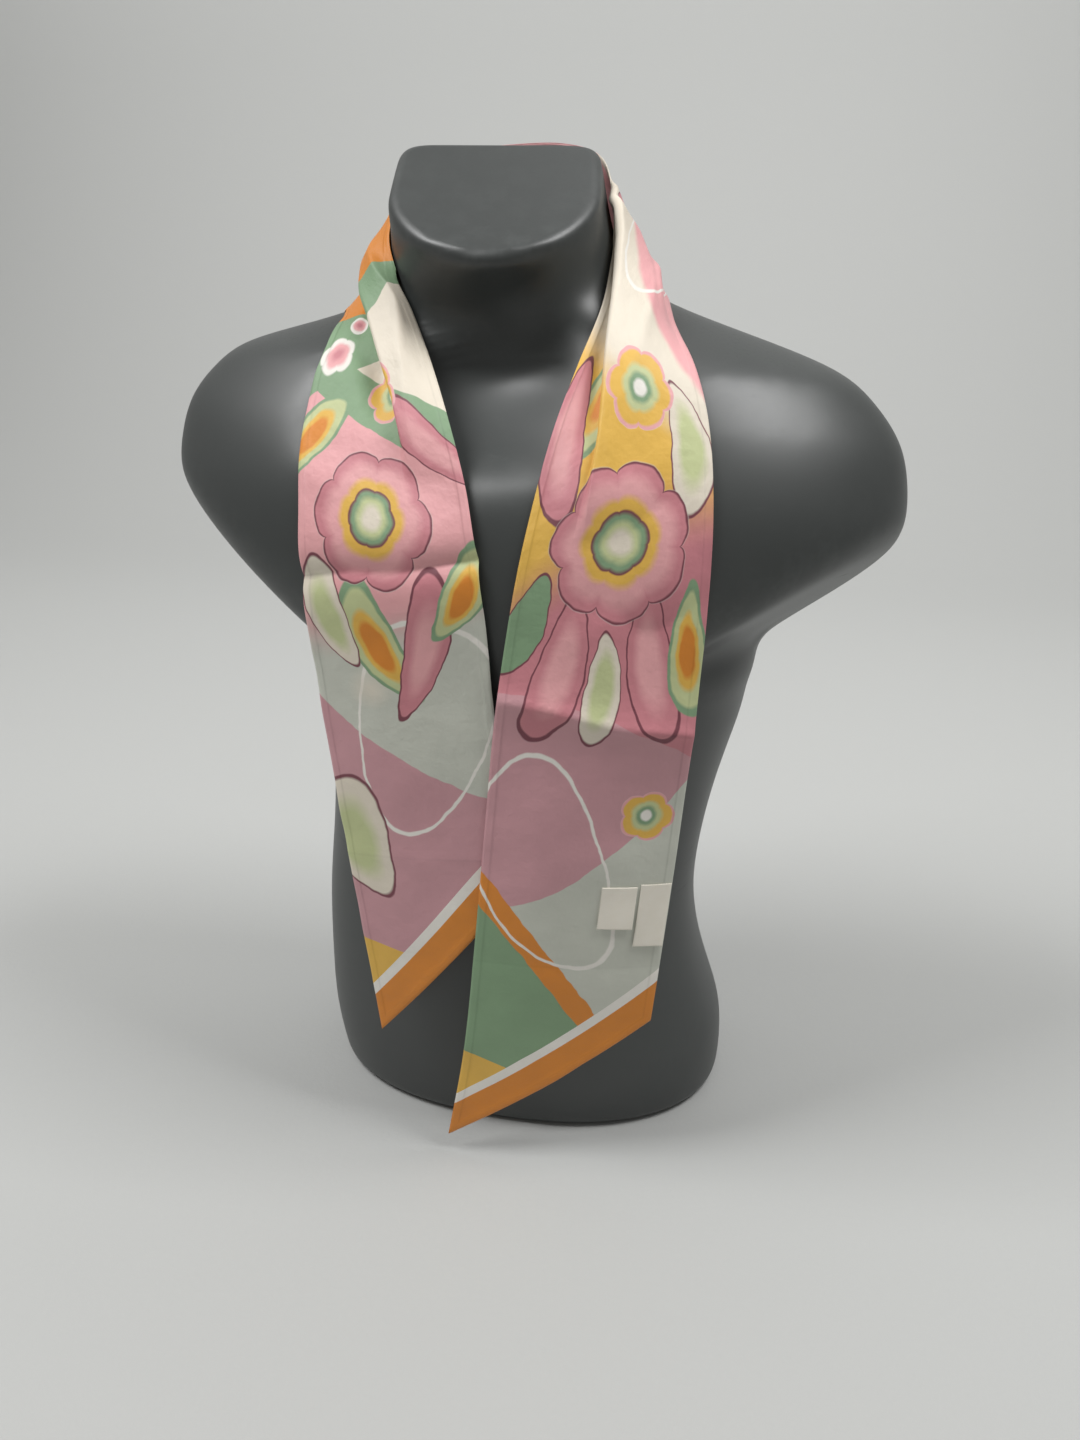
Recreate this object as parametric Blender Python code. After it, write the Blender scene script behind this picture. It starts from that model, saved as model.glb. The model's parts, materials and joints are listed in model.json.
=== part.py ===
"""A skinny silk scarf worn open round the neck of a smooth limbless bust form.

Metres, +Z up. The origin is the middle of the form's flat base, the form faces -Y, and +X is on
the right of someone looking at its front. The scarf is one flat strip, cut off at 45 degrees at
both ends. It lies round the back of the neck as a soft collar and its two ends hang in front.
"""

import math
from collections import namedtuple

import bmesh
import bpy
from mathutils import Matrix, Vector
from mathutils.bvhtree import BVHTree

# --- driving dimensions -------------------------------------------------------------------------
FORM_SEGMENTS = 48  # points round each ring of the form
FORM_RINGS_BETWEEN = 2  # rings from one named section to the next
BASE_RADIUS = 0.010  # the rounded lower rim of the form
NECK_RIM_RADIUS = 0.007  # the rounded rim of the slanted neck cap
RIM_STEPS = 3
SHOULDER_DROP = 0.016  # how far the shoulder at +X stands below the form's middle, at its tip
SHOULDER_RISE = 0.010  # and how far the one at -X stands above it
SHOULDER_REACH = 0.25
SHOULDER_DROP_FROM = 0.30  # the height where the drop sets in, and how much higher it is whole
SHOULDER_DROP_OVER = 0.15
THROAT = -0.010, 0.530  # the middle of the hollow at the neck's foot: how far out, at what height
THROAT_DEPTH = 0.058
THROAT_SPREAD = 0.056, 0.031  # how wide and how high the hollow is
ARM_CUT_AT = 0.228, 0.420  # the slanted plane that ends a shoulder: how far out, at what height
ARM_CUT_SLOPE = 1.15  # how far the arm cut moves out for each metre that it rises
ARM_CUT_LEAN = 0.5  # and for each metre further back
ARM_CUT_ROUNDING = 0.018
ARM_CUT_TOP = 0.50  # the cut has run out into the shoulder at this height
CHEST_HALF_WIDTH = 0.161  # the cut goes no further in than the side of the chest

# Horizontal sections of the form: height, half width, depth in front of and behind the ring's
# middle, where that middle is, how far the ring slants forward and turns (degrees), and how
# square it is in front and behind.
Section = namedtuple("Section", "z half_width front back mid_x mid_y slant turn square_front square_back")
FORM_SECTIONS = (
    Section(0.010, 0.157, 0.108, 0.106, 0.000, 0.000, 0, 0, 2.3, 2.3),
    Section(0.050, 0.159, 0.112, 0.110, -0.003, 0.000, 0, 0, 2.3, 2.3),
    Section(0.100, 0.150, 0.113, 0.106, -0.011, 0.000, 0, 0, 2.3, 2.3),
    Section(0.155, 0.144, 0.108, 0.098, -0.015, 0.000, 0, 0, 2.3, 2.3),
    Section(0.210, 0.143, 0.106, 0.092, -0.010, 0.002, 0, 0, 2.3, 2.3),
    Section(0.260, 0.147, 0.117, 0.094, -0.004, 0.009, 0, 0, 2.3, 2.3),
    Section(0.310, 0.157, 0.134, 0.095, 0.000, 0.016, 0, 0, 2.3, 2.3),
    Section(0.345, 0.161, 0.141, 0.098, 0.003, 0.014, 0, 0, 2.3, 2.3),
    Section(0.372, 0.202, 0.143, 0.102, 0.000, 0.010, 0, 0, 2.2, 2.3),
    Section(0.400, 0.236, 0.144, 0.106, 0.000, 0.008, 0, 0, 2.2, 2.3),
    Section(0.430, 0.251, 0.143, 0.107, 0.000, 0.008, 0, 0, 2.2, 2.4),
    Section(0.460, 0.254, 0.138, 0.107, 0.000, 0.009, 0, 0, 2.2, 2.4),
    Section(0.485, 0.253, 0.131, 0.104, 0.000, 0.010, 0, 0, 2.1, 2.3),
    Section(0.510, 0.246, 0.120, 0.098, 0.000, 0.011, 0, 0, 2.0, 2.2),
    Section(0.532, 0.228, 0.108, 0.090, 0.000, 0.012, 0, 0, 1.9, 2.1),
    Section(0.550, 0.202, 0.096, 0.081, 0.000, 0.012, 2, 0, 1.9, 2.0),
    Section(0.566, 0.146, 0.082, 0.071, -0.002, 0.011, 4, 1, 1.7, 2.0),
    Section(0.580, 0.100, 0.072, 0.063, -0.007, 0.008, 8, 2, 1.8, 2.2),
    Section(0.594, 0.079, 0.066, 0.060, -0.012, 0.003, 13, 4, 2.0, 2.6),
    Section(0.609, 0.073, 0.065, 0.059, -0.015, -0.004, 20, 6, 1.9, 3.4),
    Section(0.625, 0.069, 0.069, 0.060, -0.016, -0.011, 27, 8, 1.85, 5.4),
    Section(0.639, 0.067, 0.075, 0.064, -0.017, -0.017, 32, 9, 1.8, 8.5),
)

SCARF_WIDTH = 0.120
CLOTH_THICKNESS = 0.0012
CLOTH_CLEARANCE = 0.0014  # from the form's skin to the middle of the cloth that lies on it
STRETCH_GAP = 0.0003
PLEAT_RADIUS = 0.0014  # of each of a small pleat's two folds, at the middle of the cloth
PLEAT_OPENING = 0.04  # how much more a fold's radius is for each metre of cloth folded away
SOFT_PLEAT = 0.006  # a pleat that takes up less cloth than two of these opens into a soft wave
SLACK = 0.010  # a row shorter than the cloth by less than this is only a little loose
SETTLING_ROOM = 0.012  # the cloth on top comes down to its edge over at least this length
PLEAT_STEP = 0.0002  # the cloth's path across is followed in steps of this length
SHARPEST_FOLD = 0.0008  # a fold takes up at least this much cloth
FOLD_COLUMNS = 4  # columns of faces round each of a pleat's folds
BACK_COLUMNS = 4  # and between the two
INNER_COLUMN_SHARE = 0.4  # of the flat cloth's columns, those on the neckline's side of the pleat
CLOSEST_COLUMNS = 0.0005
PROFILE_SAMPLES = 15  # places across the cloth where it is laid over the form
LAID_FROM = 0.09  # how far out from a row's line the form is looked for
TAUTNESS = 0.75  # 1 spans the form's hollows like a string, 0 sinks into them
ROW_STEP = 0.004  # to the places before and after a row that tell which way the strip runs
SMOOTHING_STEP = 0.006  # to the rows that a row's height is smoothed with
SMOOTHING_SHARES = 0.25, 0.50, 0.25

# Rows across the scarf, from its end at -X round the nape to its end at +X: how far along the
# strip, its inner edge (the one at the neckline), its outer edge, how far its middle bows out, and
# how far from the inner edge the ridge of its pleat shows. Where a row is shorter than the cloth
# is wide, the pleat takes up the rest.
Row = namedtuple("Row", "along inner_x inner_y inner_z outer_x outer_y outer_z bow ridge")
SCARF_ROWS = (
    Row(-0.710, 0.040, -0.1385, 0.090, -0.080, -0.1300, 0.080, 0.004, 0.032),
    Row(-0.620, 0.029, -0.1390, 0.182, -0.090, -0.1290, 0.166, 0.004, 0.032),
    Row(-0.530, 0.018, -0.1395, 0.272, -0.101, -0.1280, 0.256, 0.004, 0.032),
    Row(-0.460, 0.009, -0.1395, 0.345, -0.109, -0.1260, 0.327, 0.004, 0.032),
    Row(-0.390, 0.004, -0.1380, 0.412, -0.115, -0.1250, 0.400, 0.003, 0.032),
    Row(-0.340, -0.005, -0.1290, 0.463, -0.118, -0.1180, 0.455, 0.000, 0.032),
    Row(-0.290, -0.021, -0.1110, 0.508, -0.122, -0.0980, 0.500, 0.000, 0.032),
    Row(-0.250, -0.041, -0.0800, 0.543, -0.120, -0.0750, 0.533, 0.000, 0.032),
    Row(-0.215, -0.062, -0.0490, 0.573, -0.118, -0.0450, 0.564, 0.000, 0.031),
    Row(-0.180, -0.078, -0.0350, 0.604, -0.122, 0.0050, 0.572, 0.000, 0.031),
    Row(-0.130, -0.087, -0.0070, 0.637, -0.122, 0.0500, 0.559, 0.000, 0.032),
    Row(-0.080, -0.085, 0.0240, 0.661, -0.097, 0.0760, 0.561, 0.000, 0.034),
    Row(-0.040, -0.062, 0.0440, 0.674, -0.062, 0.0880, 0.564, 0.000, 0.040),
    Row(0.000, -0.024, 0.0530, 0.679, -0.022, 0.0900, 0.566, 0.000, 0.030),
    Row(0.040, 0.014, 0.0560, 0.679, 0.022, 0.0880, 0.567, 0.000, 0.000),
    Row(0.080, 0.041, 0.0450, 0.668, 0.062, 0.0760, 0.572, 0.000, -0.010),
    Row(0.125, 0.052, 0.0200, 0.637, 0.078, 0.0500, 0.578, 0.000, -0.015),
    Row(0.170, 0.056, -0.0060, 0.611, 0.088, 0.0180, 0.579, 0.000, -0.008),
    Row(0.210, 0.056, -0.0420, 0.580, 0.099, -0.0220, 0.568, 0.000, 0.001),
    Row(0.250, 0.048, -0.0810, 0.546, 0.117, -0.0660, 0.543, 0.000, 0.014),
    Row(0.290, 0.038, -0.1090, 0.508, 0.128, -0.0900, 0.511, 0.000, 0.026),
    Row(0.340, 0.028, -0.1300, 0.458, 0.134, -0.1120, 0.466, 0.000, 0.034),
    Row(0.390, 0.020, -0.1390, 0.412, 0.134, -0.1190, 0.408, 0.003, 0.034),
    Row(0.460, 0.010, -0.1420, 0.343, 0.130, -0.1200, 0.338, 0.007, 0.034),
    Row(0.530, 0.003, -0.1435, 0.272, 0.125, -0.1215, 0.268, 0.008, 0.034),
    Row(0.620, -0.006, -0.1435, 0.180, 0.117, -0.1245, 0.176, 0.006, 0.034),
    Row(0.710, -0.016, -0.1430, 0.092, 0.108, -0.1260, 0.084, 0.004, 0.034),
    Row(0.790, -0.030, -0.1420, 0.014, 0.099, -0.1270, 0.004, 0.003, 0.034),
)
LEFT_TIP = -0.700  # the strip's outer edge ends here at -X, and is cut off at a slant from here
RIGHT_TIP = 0.790  # its inner edge ends here at +X
SLANT_RISE = 0.120  # how much further up its other edge ends

# The stretches that show: where each starts and ends, and its rows and columns of faces.
Stretch = namedtuple("Stretch", "name start end rows columns pleated")
STRETCHES = (
    Stretch("scarf_left_front", LEFT_TIP, -0.335, 22, 12, False),
    Stretch("scarf_left_neck", -0.335, -0.075, 24, 22, True),
    Stretch("scarf_nape", -0.075, 0.075, 14, 22, True),
    Stretch("scarf_right_neck", 0.075, 0.335, 24, 22, True),
    Stretch("scarf_right_front", 0.335, RIGHT_TIP, 26, 12, False),
)


# The woven labels, sewn to the end at +X: how far along the strip and from its inner edge each
# one starts and ends.
Label = namedtuple("Label", "name start end inner outer")
LABELS = (
    Label("label_long", 0.568, 0.612, 0.1005, 0.1195),
    Label("label_small", 0.570, 0.599, 0.0760, 0.0985),
)
LABEL_THICKNESS = 0.0010
LABEL_ROWS, LABEL_COLUMNS = 5, 3

FORM_GREY = 0.065, 0.068, 0.072
SILK_PINK = 0.62, 0.42, 0.44
LABEL_CREAM = 0.86, 0.82, 0.74


def smooth_between(before, start, end, after, share):
    """The value at share of the way from start to end, on a curve that also heeds its neighbours."""
    a = -0.5 * before + 1.5 * start - 1.5 * end + 0.5 * after
    b = before - 2.5 * start + 2 * end - 0.5 * after
    c = 0.5 * (end - before)
    return ((a * share + b) * share + c) * share + start


def between_rows(rows, place):
    """A row of a table at a place such as 3.25, a quarter of the way from row 3 to row 4."""
    i = min(max(int(place), 0), len(rows) - 2)
    start, end = rows[i], rows[i + 1]
    before = rows[i - 1] if i > 0 else [2 * a - b for a, b in zip(start, end)]
    after = rows[i + 2] if i + 2 < len(rows) else [2 * b - a for a, b in zip(start, end)]
    columns = zip(before, start, end, after)
    return type(start)(*(smooth_between(*values, place - i) for values in columns))


def cut_at_arm(x, y, section):
    """Draws a point in to the slanted plane that ends the shoulder, with a rounded edge."""
    slope = (section.z - ARM_CUT_AT[1]) * ARM_CUT_SLOPE
    chest = abs(x) * min(CHEST_HALF_WIDTH / section.half_width, 1)
    limit = max(ARM_CUT_AT[0] + slope + y * ARM_CUT_LEAN, chest)
    near = max(ARM_CUT_ROUNDING - abs(abs(x) - limit), 0) / ARM_CUT_ROUNDING
    return math.copysign(min(abs(x), limit) - ARM_CUT_ROUNDING * near**2 / 4, x)


def throat(x, z):
    """How far the hollow at the neck's foot draws in the front of the form."""
    aside = (x - THROAT[0]) / THROAT_SPREAD[0]
    above = (z - THROAT[1]) / THROAT_SPREAD[1]
    return THROAT_DEPTH * math.exp(-(aside**4) - above**2)


def ring_points(section, inset=0.0, lift=0.0):
    """One closed ring of the form, drawn in by inset and raised square to its own plane by lift."""
    points = []
    slant = Matrix.Rotation(math.radians(section.slant), 3, "X")
    turn = Matrix.Rotation(math.radians(section.turn), 3, "Z") @ slant
    for k in range(FORM_SEGMENTS):
        angle = 2 * math.pi * k / FORM_SEGMENTS
        cos, sin = math.cos(angle), math.sin(angle)
        front = sin < 0
        power = 2 / (section.square_front if front else section.square_back)
        depth = section.front if front else section.back
        x = math.copysign(abs(cos) ** power, cos) * (section.half_width - inset)
        y = math.copysign(abs(sin) ** power, sin) * (depth - inset)
        if section.half_width > CHEST_HALF_WIDTH and section.z < ARM_CUT_TOP:
            x = cut_at_arm(x, y, section)
        point = turn @ Vector((x, y, lift))
        point += Vector((section.mid_x, section.mid_y, section.z))
        if front:
            point.y += throat(point.x, point.z)
        sway = min(max((section.z - SHOULDER_DROP_FROM) / SHOULDER_DROP_OVER, 0), 1)
        drop = SHOULDER_DROP if point.x > 0 else SHOULDER_RISE
        point.z -= drop * sway * point.x * abs(point.x) / SHOULDER_REACH**2
        points.append(point)
    return points


def rim(section, radius, way):
    """Rings that round a rim off from its side to its flat; way is 1 at the top, -1 at the base."""
    for step in range(1, RIM_STEPS + 1):
        angle = math.pi / 2 * step / RIM_STEPS
        yield ring_points(section, radius * (1 - math.cos(angle)), way * radius * math.sin(angle))


def loft(mesh, rings):
    """Joins closed rings of points into one skin and closes both of its ends."""
    loops = [[mesh.verts.new(point) for point in ring] for ring in rings]
    count = len(loops[0])
    for lower, upper in zip(loops, loops[1:]):
        for k in range(count):
            after = (k + 1) % count
            mesh.faces.new((lower[k], lower[after], upper[after], upper[k]))
    mesh.faces.new(reversed(loops[0]))
    mesh.faces.new(loops[-1])


def row_at(along):
    """The scarf's row at a distance along the strip, between the table's rows."""
    at = [row.along for row in SCARF_ROWS]
    i = min(max(sum(1 for start in at if start <= along) - 1, 0), len(at) - 2)
    share = (along - at[i]) / (at[i + 1] - at[i])
    return between_rows(SCARF_ROWS, i + share)


def edges(along):
    """The ends of a row: its inner and its outer edge."""
    row = row_at(along)
    inner = Vector((row.inner_x, row.inner_y, row.inner_z))
    outer = Vector((row.outer_x, row.outer_y, row.outer_z))
    return row, inner, outer


def row_frame(along):
    """A row's start, its length, the way across it and the way out of the cloth."""
    row, inner, outer = edges(along)
    before, after = edges(along - ROW_STEP), edges(along + ROW_STEP)
    onwards = (after[1] + after[2]) - (before[1] + before[2])
    across = (outer - inner).normalized()
    outwards = onwards.cross(across).normalized()
    return row, inner, (outer - inner).length, across, outwards


def spare_cloth(length):
    """How much of its width a row folds away, easing in from none on a row that is nearly full."""
    spare = max(SCARF_WIDTH - length - SLACK, 0.0)
    return spare**2 / (spare + SLACK)


def pleat(row, length):
    """Where a row's pleat starts and ends, how far it turns, and how wide each turn is.

    The cloth runs across, turns back through the pleat, and runs on. A whole pleat turns back by
    half a circle, and one that takes up little cloth turns less. On the -X side the part at the
    neckline lies on top, and on the +X side the outer part does.
    """
    spare = spare_cloth(length)
    back = max(spare / 2, SOFT_PLEAT)
    turn = math.acos(max(1 - spare / back, -1))
    bend = max((PLEAT_RADIUS + PLEAT_OPENING * spare) * turn, SHARPEST_FOLD)
    shown = row.ridge * (SCARF_WIDTH - spare) / length
    if row.along < 0:
        start = shown - bend / 2
        return start, start + back + bend, -turn, bend
    end = shown + spare + bend / 2
    return end - back - bend, end, turn, bend


def pleated_profile(row, length):
    """The cloth's path from its inner to its outer edge: how far it has come across and out.

    The part on top of the pleat comes down to its own edge where nothing lies under it.
    """
    start, end, turn, bend = pleat(row, length)
    count = round(SCARF_WIDTH / PLEAT_STEP)
    path = [(0.0, 0.0)]
    for k in range(count):
        t = (k + 0.5) * PLEAT_STEP
        share = min(max(min((t - start) / bend, (end - t) / bend), 0), 1)
        angle = turn * share
        x, out = path[-1]
        path.append((x + math.cos(angle) * PLEAT_STEP, out + math.sin(angle) * PLEAT_STEP))
    fit = length / path[-1][0]
    low = min(out for x, out in path)
    top = path[0 if turn < 0 else -1][1] - low
    side = start if turn < 0 else SCARF_WIDTH - end
    room = max(side - (end - start) + bend / 2, PLEAT_STEP)
    settled = []
    for k, (x, out) in enumerate(path):
        t = k * PLEAT_STEP
        from_edge = t if turn < 0 else SCARF_WIDTH - t
        drop = top * max(1 - from_edge / room, 0) * min(room / SETTLING_ROOM, 1)
        settled.append((x * fit, out - low - drop))
    return settled


def taut_line(heights):
    """A string drawn over evenly spaced posts of these heights, from the first to the last."""
    line = list(heights)
    last = len(heights) - 1
    for k in range(last + 1):
        spans = (
            heights[i] + (heights[j] - heights[i]) * (k - i) / (j - i)
            for i in range(k + 1)
            for j in range(k, last + 1)
            if i < j
        )
        line[k] = max(max(spans), heights[k])
    return line


def lay_over(form, along):
    """How far out a row of cloth lies at even places across it, drawn over the form."""
    row, inner, length, across, outwards = row_frame(along)
    resting, skin = [], []
    for k in range(PROFILE_SAMPLES):
        share = k / (PROFILE_SAMPLES - 1)
        start = inner + across * (length * share) + outwards * LAID_FROM
        place, _, _, distance = form.ray_cast(start, -outwards, 2 * LAID_FROM)
        skin.append(LAID_FROM - distance + CLOTH_CLEARANCE if place else -LAID_FROM)
        resting.append(max(skin[-1], row.bow * 4 * share * (1 - share)))
    taut = taut_line(resting)
    mixed = [low + (high - low) * TAUTNESS for low, high in zip(resting, taut)]
    return mixed, skin


def read_line(values, share):
    """The value at share of the way along a line of evenly spaced ones."""
    place = min(max(share, 0), 1) * (len(values) - 1)
    i = min(int(place), len(values) - 2)
    return values[i] + (values[i + 1] - values[i]) * (place - i)


class Cloth:
    """The middle surface of the scarf, laid over the form."""

    def __init__(self, form):
        self.form = form
        self.kept = {}

    def laid(self, along):
        """The heights of one row, smoothed with those of the rows beside it."""
        key = round(along, 6)
        if key not in self.kept:
            near = [lay_over(self.form, along + side * SMOOTHING_STEP) for side in (-1, 0, 1)]
            mixed = [
                sum(part * rows[0][k] for part, rows in zip(SMOOTHING_SHARES, near))
                for k in range(PROFILE_SAMPLES)
            ]
            self.kept[key] = [max(pair) for pair in zip(mixed, near[1][1])]
        return self.kept[key]

    def point(self, along, across_cloth):
        """The point of the cloth at a distance along the strip and one from its inner edge."""
        row, inner, length, across, outwards = row_frame(along)
        path = pleated_profile(row, length)
        x, out = path[round(across_cloth / SCARF_WIDTH * (len(path) - 1))]
        heights = self.laid(along)
        point = inner + across * x + outwards * (out + read_line(heights, x / length))
        return self.clear_of_form(point)

    def clear_of_form(self, point):
        """Moves a point that lies too near the form's skin straight out of it."""
        skin, normal, _, _ = self.form.find_nearest(point)
        height = (point - skin).dot(normal)
        return point + normal * max(CLOTH_CLEARANCE - height, 0)


def columns_across(along, count, pleated):
    """Distances from the inner edge of a row's points: even, or closer together at the folds."""
    if not pleated:
        return [SCARF_WIDTH * k / count for k in range(count + 1)]
    row, _, length, _, _ = row_frame(along)
    start, end, _, bend = pleat(row, length)
    flat = count - 2 * FOLD_COLUMNS - BACK_COLUMNS
    before = round(flat * INNER_COLUMN_SHARE)
    parts = (before, FOLD_COLUMNS, BACK_COLUMNS, FOLD_COLUMNS, flat - before)
    places = [0.0]
    for stop, faces in zip((start, start + bend, end - bend, end, SCARF_WIDTH), parts):
        first = places[-1]
        last = max(stop, first + faces * CLOSEST_COLUMNS)
        places += [first + (last - first) * (k + 1) / faces for k in range(faces)]
    return places


def slanted(stretch, share, across_cloth):
    """How far along the strip a point lies, in a stretch that may end in the strip's slant."""
    end = stretch.end
    start = stretch.start
    from_inner = across_cloth / SCARF_WIDTH
    if start == LEFT_TIP:
        start += SLANT_RISE * (1 - from_inner)
        end -= STRETCH_GAP / 2
    elif end == RIGHT_TIP:
        end -= SLANT_RISE * from_inner
        start += STRETCH_GAP / 2
    else:
        start += STRETCH_GAP / 2
        end -= STRETCH_GAP / 2
    return start + (end - start) * share


def build_stretch(stretch, cloth, material):
    """One stretch of the scarf: its middle surface as a grid, given its thickness."""
    mesh = bmesh.new()
    bmesh.ops.create_grid(mesh, x_segments=stretch.columns, y_segments=stretch.rows, size=1)
    for vert in mesh.verts:
        column = round((vert.co.x + 1) / 2 * stretch.columns)
        share = (vert.co.y + 1) / 2
        middle = stretch.start + (stretch.end - stretch.start) * share
        across_cloth = columns_across(middle, stretch.columns, stretch.pleated)[column]
        vert.co = cloth.point(slanted(stretch, share, across_cloth), across_cloth)
    made = add_object(stretch.name, mesh, material)
    wall = made.modifiers.new("wall", "SOLIDIFY")
    wall.thickness = CLOTH_THICKNESS
    wall.offset = 0
    return made


def add_object(name, mesh, material, smooth_angle=40):
    """Makes one named object from a bmesh, shaded smooth but for edges over smooth_angle."""
    data = bpy.data.meshes.new(name)
    mesh.to_mesh(data)
    mesh.free()
    data.materials.append(material)
    data.shade_smooth()
    data.set_sharp_from_angle(angle=math.radians(smooth_angle))
    made = bpy.data.objects.new(name, data)
    bpy.context.scene.collection.objects.link(made)
    return made


def add_material(name, colour, roughness, sheen=0.0):
    """Makes one plain material."""
    material = bpy.data.materials.new(name)
    material.use_nodes = True
    shader = material.node_tree.nodes["Principled BSDF"]
    shader.inputs["Base Color"].default_value = (*colour, 1)
    shader.inputs["Roughness"].default_value = roughness
    shader.inputs["Sheen Weight"].default_value = sheen
    return material


def build_form(material):
    """The limbless bust: hips, waist, chest, two cut shoulders and a neck with a slanted cap."""
    rings = []
    base = FORM_SECTIONS[0]
    rings += reversed(list(rim(base, BASE_RADIUS, -1)))
    steps = (len(FORM_SECTIONS) - 1) * FORM_RINGS_BETWEEN
    for step in range(steps + 1):
        rings.append(ring_points(between_rows(FORM_SECTIONS, step / FORM_RINGS_BETWEEN)))
    rings += list(rim(FORM_SECTIONS[-1], NECK_RIM_RADIUS, 1))
    mesh = bmesh.new()
    loft(mesh, rings)
    bmesh.ops.recalc_face_normals(mesh, faces=mesh.faces[:])
    return add_object("bust_form", mesh, material)


def build_label(label, cloth, material):
    """One label: a small patch made from the cloth's own points, moved out to lie on it."""
    lift = CLOTH_THICKNESS / 2 + STRETCH_GAP + LABEL_THICKNESS / 2
    mesh = bmesh.new()
    bmesh.ops.create_grid(mesh, x_segments=LABEL_COLUMNS, y_segments=LABEL_ROWS, size=1)
    for vert in mesh.verts:
        across_cloth = label.inner + (label.outer - label.inner) * (vert.co.x + 1) / 2
        along = label.start + (label.end - label.start) * (vert.co.y + 1) / 2
        outwards = row_frame(along)[4]
        vert.co = cloth.point(along, across_cloth) + outwards * lift
    made = add_object(label.name, mesh, material)
    wall = made.modifiers.new("wall", "SOLIDIFY")
    wall.thickness = LABEL_THICKNESS
    wall.offset = 0
    return made


def clear_scene():
    """Removes every object."""
    for item in list(bpy.data.objects):
        bpy.data.objects.remove(item)


def main():
    clear_scene()
    grey = add_material("form_plastic", FORM_GREY, 0.5)
    silk = add_material("scarf_silk", SILK_PINK, 0.4, sheen=0.3)
    woven = add_material("label_woven", LABEL_CREAM, 0.8)
    form = build_form(grey)
    tree = BVHTree.FromObject(form, bpy.context.evaluated_depsgraph_get())
    cloth = Cloth(tree)
    for stretch in STRETCHES:
        build_stretch(stretch, cloth, silk)
    for label in LABELS:
        build_label(label, cloth, woven)


main()
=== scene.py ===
"""A printed silk scarf, worn open round the neck of a limbless bust form, with its looks.

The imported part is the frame. Metres, +Z up, and the form faces -Y. The scarf is one flat strip, two
layers of silk sewn together all round: it is followed along its length from the end at -X round the
nape to the end at +X, and across its width from the edge at the neckline to the outer edge.
"""

import json
import logging
import math
from collections.abc import Callable, Sequence
from dataclasses import dataclass, field
from enum import Enum
from typing import NamedTuple

import bmesh
import bpy
import numpy as np
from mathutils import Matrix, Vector, noise
from mathutils.bvhtree import BVHTree

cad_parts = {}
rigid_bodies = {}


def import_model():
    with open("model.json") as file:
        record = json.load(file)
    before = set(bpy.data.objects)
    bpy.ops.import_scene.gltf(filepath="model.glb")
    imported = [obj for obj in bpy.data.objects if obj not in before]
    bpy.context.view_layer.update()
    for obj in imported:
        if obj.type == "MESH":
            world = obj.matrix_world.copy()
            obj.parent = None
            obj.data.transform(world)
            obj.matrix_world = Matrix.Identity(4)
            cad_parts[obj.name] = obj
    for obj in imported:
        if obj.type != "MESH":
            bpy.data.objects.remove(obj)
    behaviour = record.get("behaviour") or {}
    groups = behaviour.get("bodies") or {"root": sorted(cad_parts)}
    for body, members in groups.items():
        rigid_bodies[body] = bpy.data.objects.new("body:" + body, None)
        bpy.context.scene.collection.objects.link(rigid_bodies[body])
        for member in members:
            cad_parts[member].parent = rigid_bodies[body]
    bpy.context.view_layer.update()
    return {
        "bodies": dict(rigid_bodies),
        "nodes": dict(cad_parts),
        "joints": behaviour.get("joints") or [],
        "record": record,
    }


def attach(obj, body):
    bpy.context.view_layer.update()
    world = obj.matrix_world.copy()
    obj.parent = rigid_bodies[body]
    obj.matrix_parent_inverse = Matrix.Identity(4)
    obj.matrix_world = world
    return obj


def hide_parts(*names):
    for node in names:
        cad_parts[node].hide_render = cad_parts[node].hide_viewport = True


LOG = logging.getLogger("scarf")

Colour = tuple[float, float, float, float]
Output = bpy.types.NodeSocket
Socket = Output | float | tuple[float, ...] | None

MOTIF_REACH = 1.4  # a motif's bands may run out to this many times its size
HALF_WIDTH = 0.060  # of the strip


class Row(NamedTuple):
    """A row across the scarf: how far along the strip, its inner edge (at the neckline), its outer
    edge, how far its middle bows out, and how far from the inner edge the ridge of its pleat shows.
    """

    along: float
    inner_x: float
    inner_y: float
    inner_z: float
    outer_x: float
    outer_y: float
    outer_z: float
    bow: float
    ridge: float


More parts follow.
